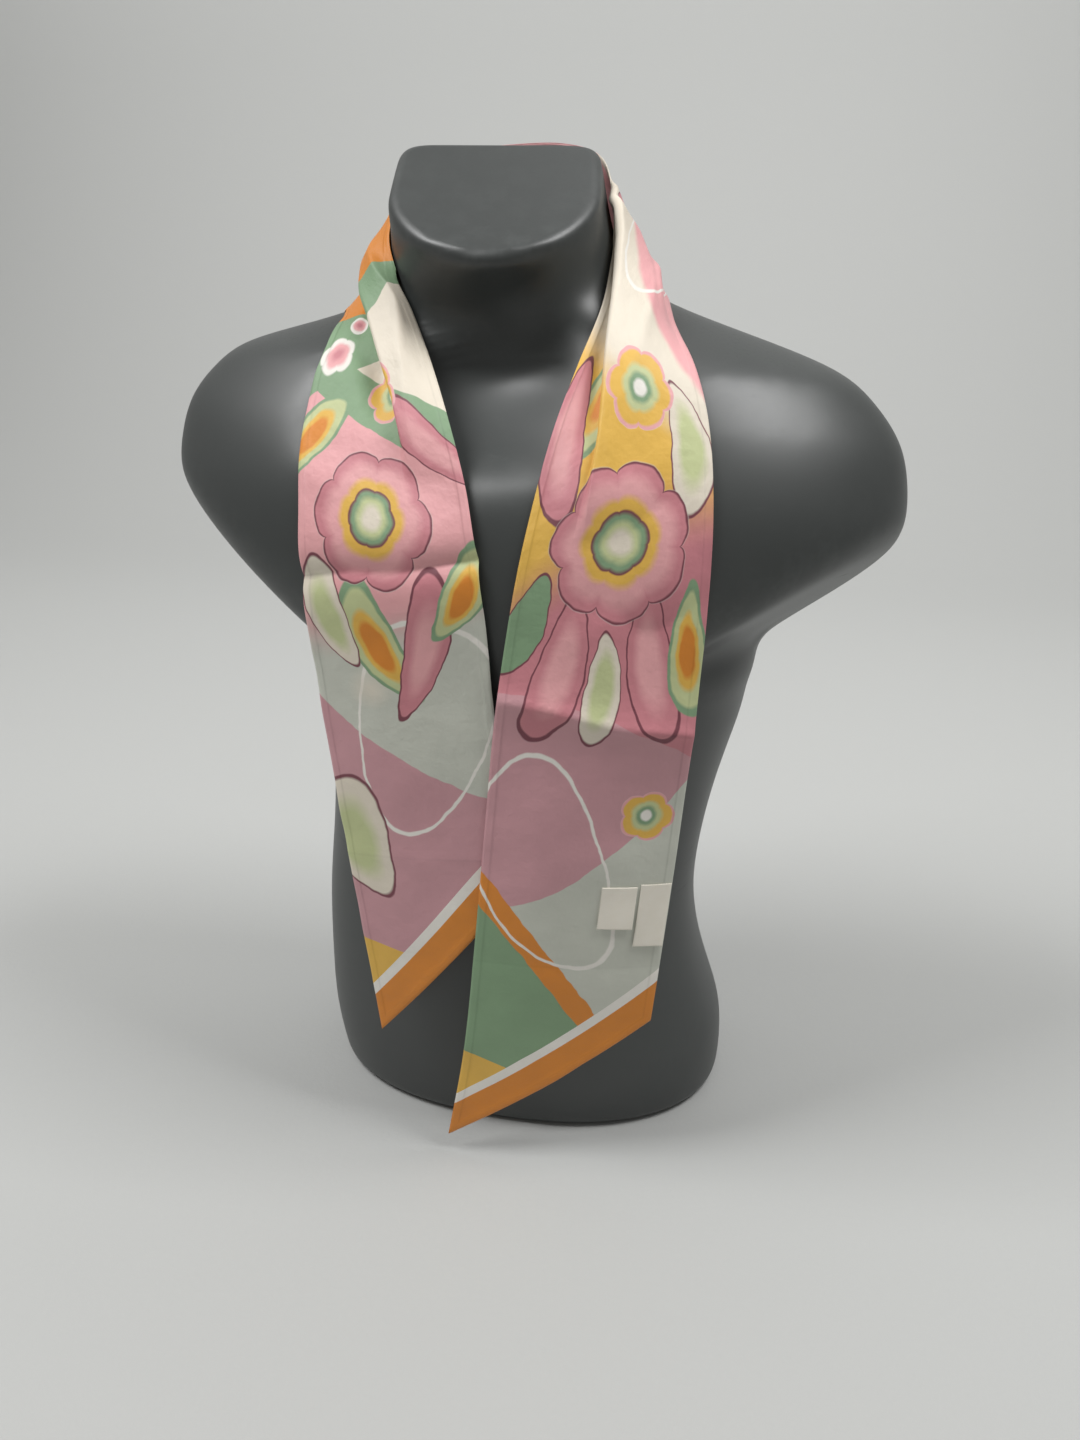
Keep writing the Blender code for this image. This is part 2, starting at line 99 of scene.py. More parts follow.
SCARF_ROWS = (
    Row(-0.710, 0.040, -0.1385, 0.090, -0.080, -0.1300, 0.080, 0.004, 0.032),
    Row(-0.620, 0.029, -0.1390, 0.182, -0.090, -0.1290, 0.166, 0.004, 0.032),
    Row(-0.530, 0.018, -0.1395, 0.272, -0.101, -0.1280, 0.256, 0.004, 0.032),
    Row(-0.460, 0.009, -0.1395, 0.345, -0.109, -0.1260, 0.327, 0.004, 0.032),
    Row(-0.390, 0.004, -0.1380, 0.412, -0.115, -0.1250, 0.400, 0.003, 0.032),
    Row(-0.340, -0.005, -0.1290, 0.463, -0.118, -0.1180, 0.455, 0.000, 0.032),
    Row(-0.290, -0.021, -0.1110, 0.508, -0.122, -0.0980, 0.500, 0.000, 0.032),
    Row(-0.250, -0.041, -0.0800, 0.543, -0.120, -0.0750, 0.533, 0.000, 0.032),
    Row(-0.215, -0.062, -0.0490, 0.573, -0.118, -0.0450, 0.564, 0.000, 0.031),
    Row(-0.180, -0.078, -0.0350, 0.604, -0.122, 0.0050, 0.572, 0.000, 0.031),
    Row(-0.130, -0.087, -0.0070, 0.637, -0.122, 0.0500, 0.559, 0.000, 0.032),
    Row(-0.080, -0.085, 0.0240, 0.661, -0.097, 0.0760, 0.561, 0.000, 0.034),
    Row(-0.040, -0.062, 0.0440, 0.674, -0.062, 0.0880, 0.564, 0.000, 0.040),
    Row(0.000, -0.024, 0.0530, 0.679, -0.022, 0.0900, 0.566, 0.000, 0.030),
    Row(0.040, 0.014, 0.0560, 0.679, 0.022, 0.0880, 0.567, 0.000, 0.000),
    Row(0.080, 0.041, 0.0450, 0.668, 0.062, 0.0760, 0.572, 0.000, -0.010),
    Row(0.125, 0.052, 0.0200, 0.637, 0.078, 0.0500, 0.578, 0.000, -0.015),
    Row(0.170, 0.056, -0.0060, 0.611, 0.088, 0.0180, 0.579, 0.000, -0.008),
    Row(0.210, 0.056, -0.0420, 0.580, 0.099, -0.0220, 0.568, 0.000, 0.001),
    Row(0.250, 0.048, -0.0810, 0.546, 0.117, -0.0660, 0.543, 0.000, 0.014),
    Row(0.290, 0.038, -0.1090, 0.508, 0.128, -0.0900, 0.511, 0.000, 0.026),
    Row(0.340, 0.028, -0.1300, 0.458, 0.134, -0.1120, 0.466, 0.000, 0.034),
    Row(0.390, 0.020, -0.1390, 0.412, 0.134, -0.1190, 0.408, 0.003, 0.034),
    Row(0.460, 0.010, -0.1420, 0.343, 0.130, -0.1200, 0.338, 0.007, 0.034),
    Row(0.530, 0.003, -0.1435, 0.272, 0.125, -0.1215, 0.268, 0.008, 0.034),
    Row(0.620, -0.006, -0.1435, 0.180, 0.117, -0.1245, 0.176, 0.006, 0.034),
    Row(0.710, -0.016, -0.1430, 0.092, 0.108, -0.1260, 0.084, 0.004, 0.034),
    Row(0.790, -0.030, -0.1420, 0.014, 0.099, -0.1270, 0.004, 0.003, 0.034),
)


class Crease(NamedTuple):
    """A crease pressed across the strip: where it meets the inner and the outer edge, how far it
    stands out (a valley is negative), and how far from it the cloth lies flat again.
    """

    inner: float
    outer: float
    height: float
    reach: float


CREASES = (
    Crease(-0.366, -0.372, -0.0084, 0.012),
    Crease(-0.560, -0.556, 0.0009, 0.018),
    Crease(0.447, 0.464, 0.0074, 0.016),
    Crease(0.632, 0.628, -0.0009, 0.014),
)


class Fold(NamedTuple):
    """A soft fold that runs along the strip: where it starts and ends (along the strip and from
    the inner edge), how far it stands out (a trough is negative), and how wide it is to each side.
    """

    start_along: float
    start_across: float
    end_along: float
    end_across: float
    height: float
    reach: float


FOLDS = (
    Fold(-0.125, 0.062, -0.240, 0.090, -0.0080, 0.007),
    Fold(-0.195, 0.086, -0.292, 0.052, -0.0060, 0.008),
    Fold(-0.150, 0.012, -0.320, 0.020, 0.0020, 0.008),
    Fold(-0.300, 0.040, -0.440, 0.030, 0.0016, 0.012),
    Fold(-0.400, 0.085, -0.560, 0.074, 0.0018, 0.016),
    Fold(-0.470, 0.030, -0.620, 0.040, -0.0012, 0.014),
    Fold(0.150, 0.080, 0.222, 0.110, 0.0042, 0.004),
    Fold(0.165, 0.092, 0.235, 0.119, -0.0020, 0.005),
    Fold(0.210, 0.006, 0.310, 0.030, -0.0045, 0.006),
    Fold(0.250, 0.030, 0.360, 0.028, 0.0016, 0.010),
    Fold(0.300, 0.088, 0.440, 0.084, -0.0026, 0.012),
    Fold(0.380, 0.050, 0.450, 0.058, 0.0016, 0.012),
    Fold(0.470, 0.036, 0.640, 0.040, 0.0020, 0.014),
    Fold(0.480, 0.096, 0.560, 0.090, -0.0016, 0.012),
)


def linear(code: str, alpha: float = 1.0) -> Colour:
    """A colour's linear values from its six hex digits, and its alpha.

    Args:
        code: Its six hex digits.
        alpha: How well it covers, from 0 to 1.

    Returns:
        The linear red, green and blue, and the alpha.
    """
    parts = (int(code[k : k + 2], 16) / 255 for k in (0, 2, 4))
    lit = (v / 12.92 if v <= 0.04045 else ((v + 0.055) / 1.055) ** 2.4 for v in parts)
    return (*lit, alpha)


class Dye(Enum):
    """The colours that the silk is printed in."""

    ORANGE = "DD8A34"
    YELLOW = "E6B855"
    SAGE = "86A380"
    LEAF = "C6CD9A"
    PINK = "E8AAAC"
    ROSE = "CE868E"
    MAUVE = "CC9AA0"
    CREAM = "E4DAC9"
    MIST = "CACCC0"
    WHITE = "EEEAE2"
    MAROON = "7C4650"


class Band(NamedTuple):
    """A ring of colour in a motif: the share of the motif's size where it ends, its dye, how
    softly it runs into the next one, and how well it covers what lies under it.
    """

    until: float
    dye: Dye
    blur: float = 0.02
    cover: float = 1.0


class Palette(Enum):
    """The bands of each kind of motif, from its middle outwards."""

    BLOSSOM = (
        Band(0.17, Dye.CREAM, 0.10),
        Band(0.27, Dye.LEAF, 0.08),
        Band(0.36, Dye.SAGE, 0.05),
        Band(0.40, Dye.MAROON),
        Band(0.55, Dye.YELLOW, 0.10),
        Band(0.80, Dye.PINK, 0.18),
        Band(0.965, Dye.ROSE),
        Band(1.00, Dye.MAROON),
        Band(1.22, Dye.WHITE, 0.16, 0.0),
    )
    SUNNY = (
        Band(0.20, Dye.WHITE, 0.08),
        Band(0.36, Dye.SAGE, 0.12),
        Band(0.56, Dye.LEAF, 0.14),
        Band(0.90, Dye.YELLOW, 0.06),
        Band(1.00, Dye.PINK, 0.03),
        Band(1.20, Dye.WHITE, 0.15, 0.0),
    )
    ROSY = (
        Band(0.55, Dye.PINK, 0.35),
        Band(0.93, Dye.ROSE),
        Band(1.00, Dye.MAROON),
    )
    MEADOW = (
        Band(0.42, Dye.ORANGE, 0.10),
        Band(0.60, Dye.YELLOW, 0.10),
        Band(0.86, Dye.LEAF, 0.06),
        Band(1.00, Dye.SAGE, 0.03),
    )
    PALE = (
        Band(0.60, Dye.LEAF, 0.30),
        Band(0.94, Dye.CREAM, 0.04),
        Band(1.00, Dye.MAROON),
    )
    SAGE = (Band(0.94, Dye.SAGE), Band(1.00, Dye.MAROON))
    SPOT = (
        Band(0.30, Dye.ROSE, 0.30),
        Band(0.62, Dye.PINK, 0.20),
        Band(0.92, Dye.WHITE, 0.10),
        Band(1.0, Dye.WHITE, 0.08, 0.0),
    )
    LOOP = (Band(0.955, Dye.WHITE, 0.012, 0.0), Band(1.00, Dye.WHITE, 0.012))
    GLOW = (Band(0.20, Dye.CREAM, 0.30, 0.7), Band(1.0, Dye.CREAM, 0.30, 0.0))


class Ground(NamedTuple):
    """A block of ground colour: where along the strip it starts, at the middle of the width, how
    far its edge slants and bows over the half width, how soft it is, and its dye.
    """

    start: float
    slant: float
    bow: float
    blur: float
    dye: Dye


GROUNDS = (
    Ground(-0.632, -0.046, 0.000, 0.0004, Dye.ORANGE),
    Ground(-0.614, -0.046, 0.000, 0.0004, Dye.MAUVE),
    Ground(-0.492, 0.038, 0.010, 0.0004, Dye.MIST),
    Ground(-0.405, -0.010, 0.012, 0.0180, Dye.PINK),
    Ground(-0.288, 0.030, 0.004, 0.0004, Dye.SAGE),
    Ground(-0.256, 0.024, 0.002, 0.0004, Dye.CREAM),
    Ground(-0.232, -0.031, 0.002, 0.0004, Dye.SAGE),
    Ground(-0.196, -0.014, 0.003, 0.0004, Dye.ORANGE),
    Ground(-0.020, 0.020, 0.010, 0.0004, Dye.PINK),
    Ground(0.170, 0.100, 0.000, 0.0060, Dye.CREAM),
    Ground(0.262, 0.036, 0.006, 0.0160, Dye.YELLOW),
    Ground(0.348, -0.030, 0.014, 0.0260, Dye.ROSE),
    Ground(0.452, 0.018, 0.008, 0.0004, Dye.MAUVE),
    Ground(0.566, -0.048, -0.022, 0.0004, Dye.MIST),
    Ground(0.636, 0.078, 0.008, 0.0004, Dye.ORANGE),
    Ground(0.660, 0.078, 0.008, 0.0004, Dye.SAGE),
)
FIRST_GROUND = Dye.SAGE


class Motif(NamedTuple):
    """A printed motif: its palette, its middle (along the strip and from its inner edge), half its
    length and half its width, how far it is turned from the strip's way across (degrees), its
    number of petals (0 for a leaf), and how deeply they are cut or how far the leaf bends.
    """

    palette: Palette
    along: float
    across: float
    length: float
    width: float
    turn: float
    petals: int
    shape: float


MOTIFS = (
    Motif(Palette.LOOP, -0.470, 0.050, 0.046, 0.074, 20, 0, 0.30),
    Motif(Palette.LOOP, 0.560, 0.036, 0.080, 0.040, 70, 0, -0.35),
    Motif(Palette.LOOP, 0.150, 0.080, 0.060, 0.034, 80, 0, 0.20),
    Motif(Palette.GLOW, -0.440, 0.080, 0.050, 0.040, 0, 0, 0.0),
    Motif(Palette.PALE, -0.545, 0.112, 0.045, 0.028, 75, 0, 0.30),
    Motif(Palette.SPOT, -0.236, 0.106, 0.015, 0.013, 0, 5, 0.20),
    Motif(Palette.SPOT, -0.214, 0.096, 0.008, 0.008, 0, 0, 0.0),
    Motif(Palette.MEADOW, -0.415, 0.072, 0.044, 0.016, 62, 0, 0.45),
    Motif(Palette.ROSY, -0.418, 0.040, 0.050, 0.014, 110, 0, -0.40),
    Motif(Palette.MEADOW, -0.385, 0.012, 0.034, 0.012, 124, 0, -0.35),
    Motif(Palette.PALE, -0.395, 0.103, 0.036, 0.013, 70, 0, 0.35),
    Motif(Palette.ROSY, -0.300, 0.016, 0.040, 0.013, 40, 0, 0.40),
    Motif(Palette.MEADOW, -0.288, 0.112, 0.036, 0.014, 130, 0, 0.30),
    Motif(Palette.BLOSSOM, -0.340, 0.066, 0.042, 0.042, 12, 6, 0.22),
    Motif(Palette.SUNNY, -0.262, 0.052, 0.021, 0.021, 0, 5, 0.24),
    Motif(Palette.MEADOW, 0.262, 0.030, 0.048, 0.015, 100, 0, 0.40),
    Motif(Palette.ROSY, 0.292, 0.010, 0.050, 0.013, 82, 0, -0.35),
    Motif(Palette.PALE, 0.300, 0.106, 0.040, 0.014, 84, 0, 0.35),
    Motif(Palette.ROSY, 0.425, 0.036, 0.048, 0.015, 100, 0, 0.40),
    Motif(Palette.PALE, 0.436, 0.062, 0.036, 0.011, 92, 0, 0.30),
    Motif(Palette.ROSY, 0.420, 0.088, 0.050, 0.014, 78, 0, -0.40),
    Motif(Palette.MEADOW, 0.412, 0.110, 0.040, 0.012, 84, 0, -0.30),
    Motif(Palette.SAGE, 0.402, 0.010, 0.034, 0.013, 112, 0, 0.35),
    Motif(Palette.BLOSSOM, 0.352, 0.062, 0.045, 0.045, 30, 7, 0.20),
    Motif(Palette.SUNNY, 0.268, 0.074, 0.024, 0.024, 10, 6, 0.22),
    Motif(Palette.SUNNY, 0.520, 0.098, 0.017, 0.017, 0, 5, 0.24),
    Motif(Palette.SUNNY, 0.040, 0.060, 0.030, 0.030, 0, 6, 0.22),
    Motif(Palette.BLOSSOM, 0.110, 0.045, 0.034, 0.034, 0, 6, 0.22),
)


class Graph:
    """Adds shader nodes to one tree and joins them up."""

    def __init__(self, tree: bpy.types.NodeTree) -> None:
        """Starts on a tree."""
        self.tree = tree

    def node(self, kind: str, *values: Socket, **settings: object) -> bpy.types.Node:
        """Adds a node.

        Args:
            kind: The node's type, without the words ShaderNode.
            values: What its inputs take, in order. None leaves one as it is.
            settings: The node's own settings.

        Returns:
            The new node.
        """
        made = self.tree.nodes.new(f"ShaderNode{kind}")
        for name, setting in settings.items():
            setattr(made, name, setting)
        for socket, value in zip(made.inputs, values):
            self.fill(socket, value)
        return made

    def fill(self, socket: Output, value: Socket) -> None:
        """Links an input to a socket, or gives it a plain value.

        Args:
            socket: The input.
            value: The socket to link to it, its plain value, or None to leave it as it is.
        """
        if isinstance(value, Output):
            self.tree.links.new(value, socket)
        elif value is not None:
            socket.default_value = value

    def math(self, operation: str, *values: Socket) -> Output:
        """One step of arithmetic."""
        return self.node("Math", *values, operation=operation).outputs[0]

    def plus(self, first: Socket, second: Socket) -> Output:
        """A sum."""
        return self.math("ADD", first, second)

    def minus(self, first: Socket, second: Socket) -> Output:
        """A difference."""
        return self.math("SUBTRACT", first, second)

    def times(self, first: Socket, second: Socket) -> Output:
        """A product."""
        return self.math("MULTIPLY", first, second)

    def scaled(self, value: Socket, factor: Socket, offset: Socket) -> Output:
        """A value times a factor, plus an offset."""
        return self.math("MULTIPLY_ADD", value, factor, offset)

    def vector(self, operation: str, *values: Socket) -> Output:
        """One step of arithmetic on points."""
        return self.node("VectorMath", *values, operation=operation).outputs[0]

    def eased(self, value: Socket, low: Socket, high: Socket) -> Output:
        """0 below low and 1 above high, eased in between."""
        made = self.node("MapRange", value, low, high, 0.0, 1.0, interpolation_type="SMOOTHSTEP")
        return made.outputs[0]

    def mix(self, share: Socket, first: Socket, second: Socket, blend: str = "MIX") -> Output:
        """Two colours mixed.

        Args:
            share: How much of the second one is taken.
            first: The first colour.
            second: The second colour.
            blend: How they are blended.

        Returns:
            The mixed colour.
        """
        made = self.node("Mix", data_type="RGBA", blend_type=blend)
        for index, value in ((0, share), (6, first), (7, second)):
            self.fill(made.inputs[index], value)
        return made.outputs[2]

    def noise(
        self, point: Socket, scale: float, detail: float = 2.0, roughness: float = 0.5
    ) -> Output:
        """Soft noise from 0 to 1 at a scale in cells for each metre."""
        return self.node("TexNoise", point, None, scale, detail, roughness).outputs[0]

    def split(self, point: Socket) -> tuple[Output, ...]:
        """The three parts of a point."""
        return tuple(self.node("SeparateXYZ", point).outputs)

    def bump(self, height: Socket, depth: float, normal: Socket = None) -> Output:
        """A normal that a height field in 0..1 tilts, depth metres deep."""
        return self.node("Bump", 1.0, depth, None, height, normal).outputs[0]

    def bands(self, value: Socket, palette: Palette) -> bpy.types.Node:
        """A colour ramp over a motif's bands: its colour, and how well it covers.

        Args:
            value: Where between the motif's middle and its reach a point lies.
            palette: The bands of dye from the middle outwards.

        Returns:
            The ramp's node, with the colour and how well it covers as its outputs.
        """
        made = self.node("ValToRGB", value)
        ramp = made.color_ramp
        rows = palette.value
        stops = []
        for k, band in enumerate(rows):
            colour = linear(band.dye.value, band.cover)
            half = band.blur / 2
            start = rows[k - 1].until + rows[k - 1].blur / 2 if k else 0.0
            stops.append((start, colour))
            stops.append((max(band.until - half, start), colour))
        last = rows[-1]
        stops.append((last.until + last.blur / 2, linear(last.dye.value, 0.0)))
        while len(ramp.elements) < len(stops):
            ramp.elements.new(1.0)
        for element, (place, colour) in zip(ramp.elements, stops):
            element.position = place / MOTIF_REACH
            element.color = colour
        return made


def new_material(name: str) -> tuple[bpy.types.Material, Graph, bpy.types.Node]:
    """A material, the graph of its nodes and its shader.

    Args:
        name: The material's name.

    Returns:
        The material, its graph and its Principled BSDF.
    """
    made = bpy.data.materials.new(name)
    made.use_nodes = True
    return made, Graph(made.node_tree), made.node_tree.nodes["Principled BSDF"]


def shader_group(
    name: str, inputs: Sequence[str], output: str
) -> tuple[Graph, Sequence[Output], Output]:
    """Makes an empty shader node group.

    Args:
        name: The group's name.
        inputs: Its inputs, numbers but for "Point", which is a vector.
        output: Its output, a number.

    Returns:
        The group's graph, the sockets of its inputs and the socket of its output.
    """
    tree = bpy.data.node_groups.new(name, "ShaderNodeTree")
    for label in inputs:
        kind = "NodeSocketVector" if label == "Point" else "NodeSocketFloat"
        tree.interface.new_socket(label, in_out="INPUT", socket_type=kind)
    tree.interface.new_socket(output, in_out="OUTPUT", socket_type="NodeSocketFloat")
    given = tree.nodes.new("NodeGroupInput").outputs
    return Graph(tree), given[: len(inputs)], tree.nodes.new("NodeGroupOutput").inputs[0]


def petals_group() -> bpy.types.NodeTree:
    """A flower head: 0 in its middle and 1 on its scalloped outline.

    Returns:
        The group's tree of nodes.
    """
    graph, given, result = shader_group("petals", ("Point", "Petals", "Cut"), "Size")
    point, petals, cut = given
    x, y, _ = graph.split(point)
    angle = graph.times(graph.math("ARCTAN2", y, x), graph.times(petals, 0.5))
    scallop = graph.math("POWER", graph.math("ABSOLUTE", graph.math("COSINE", angle)), 0.55)
    notch = graph.times(graph.minus(1.0, scallop), cut)
    far = graph.math("SQRT", graph.plus(graph.times(x, x), graph.times(y, y)))
    # the cut fades towards the middle, so that the inner rings are rounder than the outline
    fading = graph.times(notch, graph.math("MINIMUM", far, 1.0))
    graph.fill(result, graph.math("DIVIDE", far, graph.minus(1.0, fading)))
    return graph.tree


def leaf_group() -> bpy.types.NodeTree:
    """A bent drop-shaped leaf: 0 in its middle and 1 on its outline.

    Returns:
        The group's tree of nodes.
    """
    graph, given, result = shader_group("leaf", ("Point", "Bend", "Taper"), "Size")
    point, bend, taper = given
    x, y, _ = graph.split(point)
    bent = graph.times(graph.times(x, x), bend)
    along = graph.math("MINIMUM", graph.math("MAXIMUM", x, -1.2), 1.2)
    beside = graph.math("DIVIDE", graph.minus(y, bent), graph.scaled(along, taper, 1.0))
    square = graph.scaled(beside, beside, graph.times(x, x))
    graph.fill(result, graph.math("SQRT", square))
    return graph.tree


def edge_group() -> bpy.types.NodeTree:
    """A slanted and bowed edge across the strip: 0 before it and 1 past it.

    Returns:
        The group's tree of nodes.
    """
    names = ("Point", "Start", "Slant", "Bow", "Blur")
    graph, given, result = shader_group("ground_edge", names, "Past")
    point, start, slant, bow, blur = given
    across, along, _ = graph.split(point)
    aside = graph.scaled(across, 1 / HALF_WIDTH, -1.0)
    at = graph.scaled(slant, aside, start)
    at = graph.scaled(graph.times(aside, aside), bow, at)
    past = graph.eased(graph.minus(along, at), graph.times(blur, -1.0), blur)
    graph.fill(result, past)
    return graph.tree


def ease(value: float) -> float:
    """A value clamped to 0..1 and eased at both ends."""
    value = min(max(value, 0.0), 1.0)
    return value * value * (3 - 2 * value)


def smooth_between(before: float, start: float, end: float, after: float, share: float) -> float:
    """The value at a share of the way from start to end, on a curve that heeds its neighbours.

    Args:
        before: The value before start.
        start: The value at share 0.
        end: The value at share 1.
        after: The value after end.
        share: How far along, where 0 is start and 1 is end.

    Returns:
        The value in between.
    """
    a = -0.5 * before + 1.5 * start - 1.5 * end + 0.5 * after
    b = before - 2.5 * start + 2 * end - 0.5 * after
    c = 0.5 * (end - before)
    return ((a * share + b) * share + c) * share + start


def row_at(along: float) -> Row:
    """The scarf's row at a distance along the strip.

    Args:
        along: The distance, which may lie a little past the table's ends.

    Returns:
        A row between two of the table's.
    """
    rows = SCARF_ROWS
    i = min(max(sum(1 for row in rows if row.along <= along) - 1, 0), len(rows) - 2)
    start, end = rows[i], rows[i + 1]
    before = rows[i - 1] if i > 0 else tuple(2 * a - b for a, b in zip(start, end))
    after = rows[i + 2] if i + 2 < len(rows) else tuple(2 * b - a for a, b in zip(start, end))
    share = (along - start.along) / (end.along - start.along)
    return Row(*(smooth_between(*values, share) for values in zip(before, start, end, after)))


def taut_line(heights: Sequence[float]) -> np.ndarray:
    """A string drawn over evenly spaced posts, from the first to the last.

    Args:
        heights: The height of each post.

    Returns:
        The string's height at each post.
    """
    held: list[int] = []
    for k, height in enumerate(heights):
        while len(held) > 1:
            i, j = held[-2], held[-1]
            if (heights[j] - heights[i]) * (k - i) > (height - heights[i]) * (j - i):
                break
            held.pop()
        held.append(k)
    return np.interp(np.arange(len(heights)), held, [heights[k] for k in held])


@dataclass
class Drape:
    """The middle surface of the worn strip, laid over the form."""

    skin: BVHTree
    width: float = 2 * HALF_WIDTH
    left_tip: float = -0.700  # the outer edge ends here at -X
    right_tip: float = 0.790  # the inner edge ends here at +X
    slant_rise: float = 0.120  # how much further up the other edge ends
    straight_to: float = 0.335  # the ends' rows lean more and more towards the slant from here
    clearance: float = 0.0012  # from the form's skin to the middle of the cloth that lies on it
    pleat_radius: float = 0.0014  # of each of a small pleat's two folds
    pleat_opening: float = 0.04  # how much more it is for each metre of cloth folded away
    soft_pleat: float = 0.006  # a pleat that takes up less than two of these is a soft wave
    sharpest_fold: float = 0.0008
    settling_room: float = 0.012  # the cloth on top comes down to its edge over this length
    slack: float = 0.010  # a row shorter than the cloth by less than this is a little loose
    tautness: float = 0.75  # 1 spans the form's hollows like a string, 0 sinks into them
    posts: int = 31  # places across the cloth where it is laid over the form
    laid_from: float = 0.09  # how far out from a row's line the form is looked for
    row_step: float = 0.002
    thread_step: float = 0.00025
    overrun: float = 0.012  # the surface is known this far past the tips
    smoothing: float = 0.005  # along the strip, for the heights at which it lies
    crease_sway: float = 0.0012  # how far a crease wanders from its line
    lift_reach: float = 2.5  # round a valley the cloth stands out over this many times its reach
    fold_fade: float = 2.5  # a fold is full from one part in this many of its length
    free_from: float = 0.30  # from here along the strip to each end the cloth hangs more freely
    free_over: float = 0.12
    wave: float = 0.0011
    ripple: float = 0.0010  # of the edges
    ripple_reach: float = 0.010
    ripple_held: float = 0.35  # the share of the ripple where the cloth is held
    first: float = field(init=False)
    points: np.ndarray = field(init=False)
    outwards: np.ndarray = field(init=False)

    def __post_init__(self) -> None:
        """Lays every row over the form."""
        start, end = self.left_tip - self.overrun, self.right_tip + self.overrun
        self.first = start
        alongs = np.arange(start, end + self.row_step, self.row_step)
        frames = [self._frame(along) for along in alongs]
        skins = np.array([self._skin(*frame[1:]) for frame in frames])
        places = np.linspace(0, 1, self.posts)
        bows = np.array([frame[0].bow for frame in frames])
        resting = np.maximum(skins, np.outer(bows, 4 * places * (1 - places)))
        taut = np.array([taut_line(row) for row in resting])
        mixed = self._smoothed(resting + (taut - resting) * self.tautness)
        heights = np.maximum(mixed, skins)
        self.points = np.array(
            [self._thread(*frame, height, places) for frame, height in zip(frames, heights)]
        )
        self.outwards = np.array([frame[4] for frame in frames])

    def _frame(self, along: float) -> tuple[Row, Vector, float, Vector, Vector]:
        """A row's values, start, length, the way across it and the way out of the cloth.

        Args:
            along: The distance along the strip, in metres.

        Returns:
            The row, its start, its length and its two directions.
        """
        inner, outer = self._edges(along)
        before = self._edges(along - self.row_step * 2)
        after = self._edges(along + self.row_step * 2)
        onwards = (after[0] + after[1]) - (before[0] + before[1])
        across = (outer - inner).normalized()
        outwards = onwards.cross(across).normalized()
        return row_at(along), inner, (outer - inner).length, across, outwards

    @staticmethod
    def _edges(along: float) -> tuple[Vector, Vector]:
        """The inner and the outer end of a row."""
        row = row_at(along)
        return Vector(row[1:4]), Vector(row[4:7])

    def _skin(self, inner: Vector, length: float, across: Vector, outwards: Vector) -> list[float]:
        """How far out the form's skin lies at each post of a row.

        Args:
            inner: Where the row starts, at the inner edge.
            length: How long the row is.
            across: The way from the inner edge to the outer.
            outwards: The way out of the cloth.

        Returns:
            The height of the skin over the row at each post, in metres.
        """
        found = []
        for share in np.linspace(0, 1, self.posts):
            start = inner + across * (length * share) + outwards * self.laid_from
            place, _, _, distance = self.skin.ray_cast(start, -outwards, 2 * self.laid_from)
            found.append(self.laid_from - distance + self.clearance if place else -self.laid_from)
        return found

    def _smoothed(self, rows: np.ndarray) -> np.ndarray:
        """Rows of heights, each smoothed with its neighbours along the strip.

        Args:
            rows: The heights, one row of posts for each step along the strip.

        Returns:
            The smoothed heights, in the same shape.
        """
        reach = round(3 * self.smoothing / self.row_step)
        steps = np.arange(-reach, reach + 1)
        shares = np.exp(-0.5 * (steps * self.row_step / self.smoothing) ** 2)
        padded = np.pad(rows, ((reach, reach), (0, 0)), mode="edge")
        count = len(rows)
        total = sum(share * padded[k : k + count] for k, share in enumerate(shares))
        return total / shares.sum()

    def pleat(self, row: Row, length: float) -> tuple[float, float, float, float]:
        """A row's pleat. The cloth turns back through it, then runs on across.

        Args:
            row: The row's values.
            length: How far the row's two edges lie apart.

        Returns:
            Where the pleat starts and ends, how far it turns, and how wide each turn is.
        """
        spare = max(self.width - length - self.slack, 0.0)
        spare = spare**2 / (spare + self.slack)
        back = max(spare / 2, self.soft_pleat)
        turn = math.acos(max(1 - spare / back, -1))
        bend = max((self.pleat_radius + self.pleat_opening * spare) * turn, self.sharpest_fold)
        shown = row.ridge * (self.width - spare) / length
        if row.along < 0:
            start = shown - bend / 2
            return start, start + back + bend, -turn, bend
        end = shown + spare + bend / 2
        return end - back - bend, end, turn, bend

    def _thread(
        self,
        row: Row,
        inner: Vector,
        length: float,
        across: Vector,
        outwards: Vector,
        heights: np.ndarray,
        places: np.ndarray,
    ) -> np.ndarray:
        """The points of one row's thread, from the inner edge through the pleat to the outer.

        Args:
            row: The row's values.
            inner: Where the row starts, at the inner edge.
            length: How long the row is.
            across: The way from the inner edge to the outer.
            outwards: The way out of the cloth.
            heights: How far out the form holds the cloth at each post.
            places: The share of the row's length at which each post stands.

        Returns:
            One point for each step of the thread.
        """
        start, end, turn, bend = self.pleat(row, length)
        t = np.arange(self.thread_step / 2, self.width, self.thread_step)
        share = np.clip(np.minimum((t - start) / bend, (end - t) / bend), 0, 1)
        x = np.concatenate(([0.0], np.cumsum(np.cos(turn * share)))) * self.thread_step
        out = np.concatenate(([0.0], np.cumsum(np.sin(turn * share)))) * self.thread_step
        x *= length / x[-1]
        settled = self._settled(out, start, end, turn, bend)
        out += np.interp(x / length, places, heights) - out.min() - settled
        return np.array(inner) + np.outer(x, across) + np.outer(out, outwards)

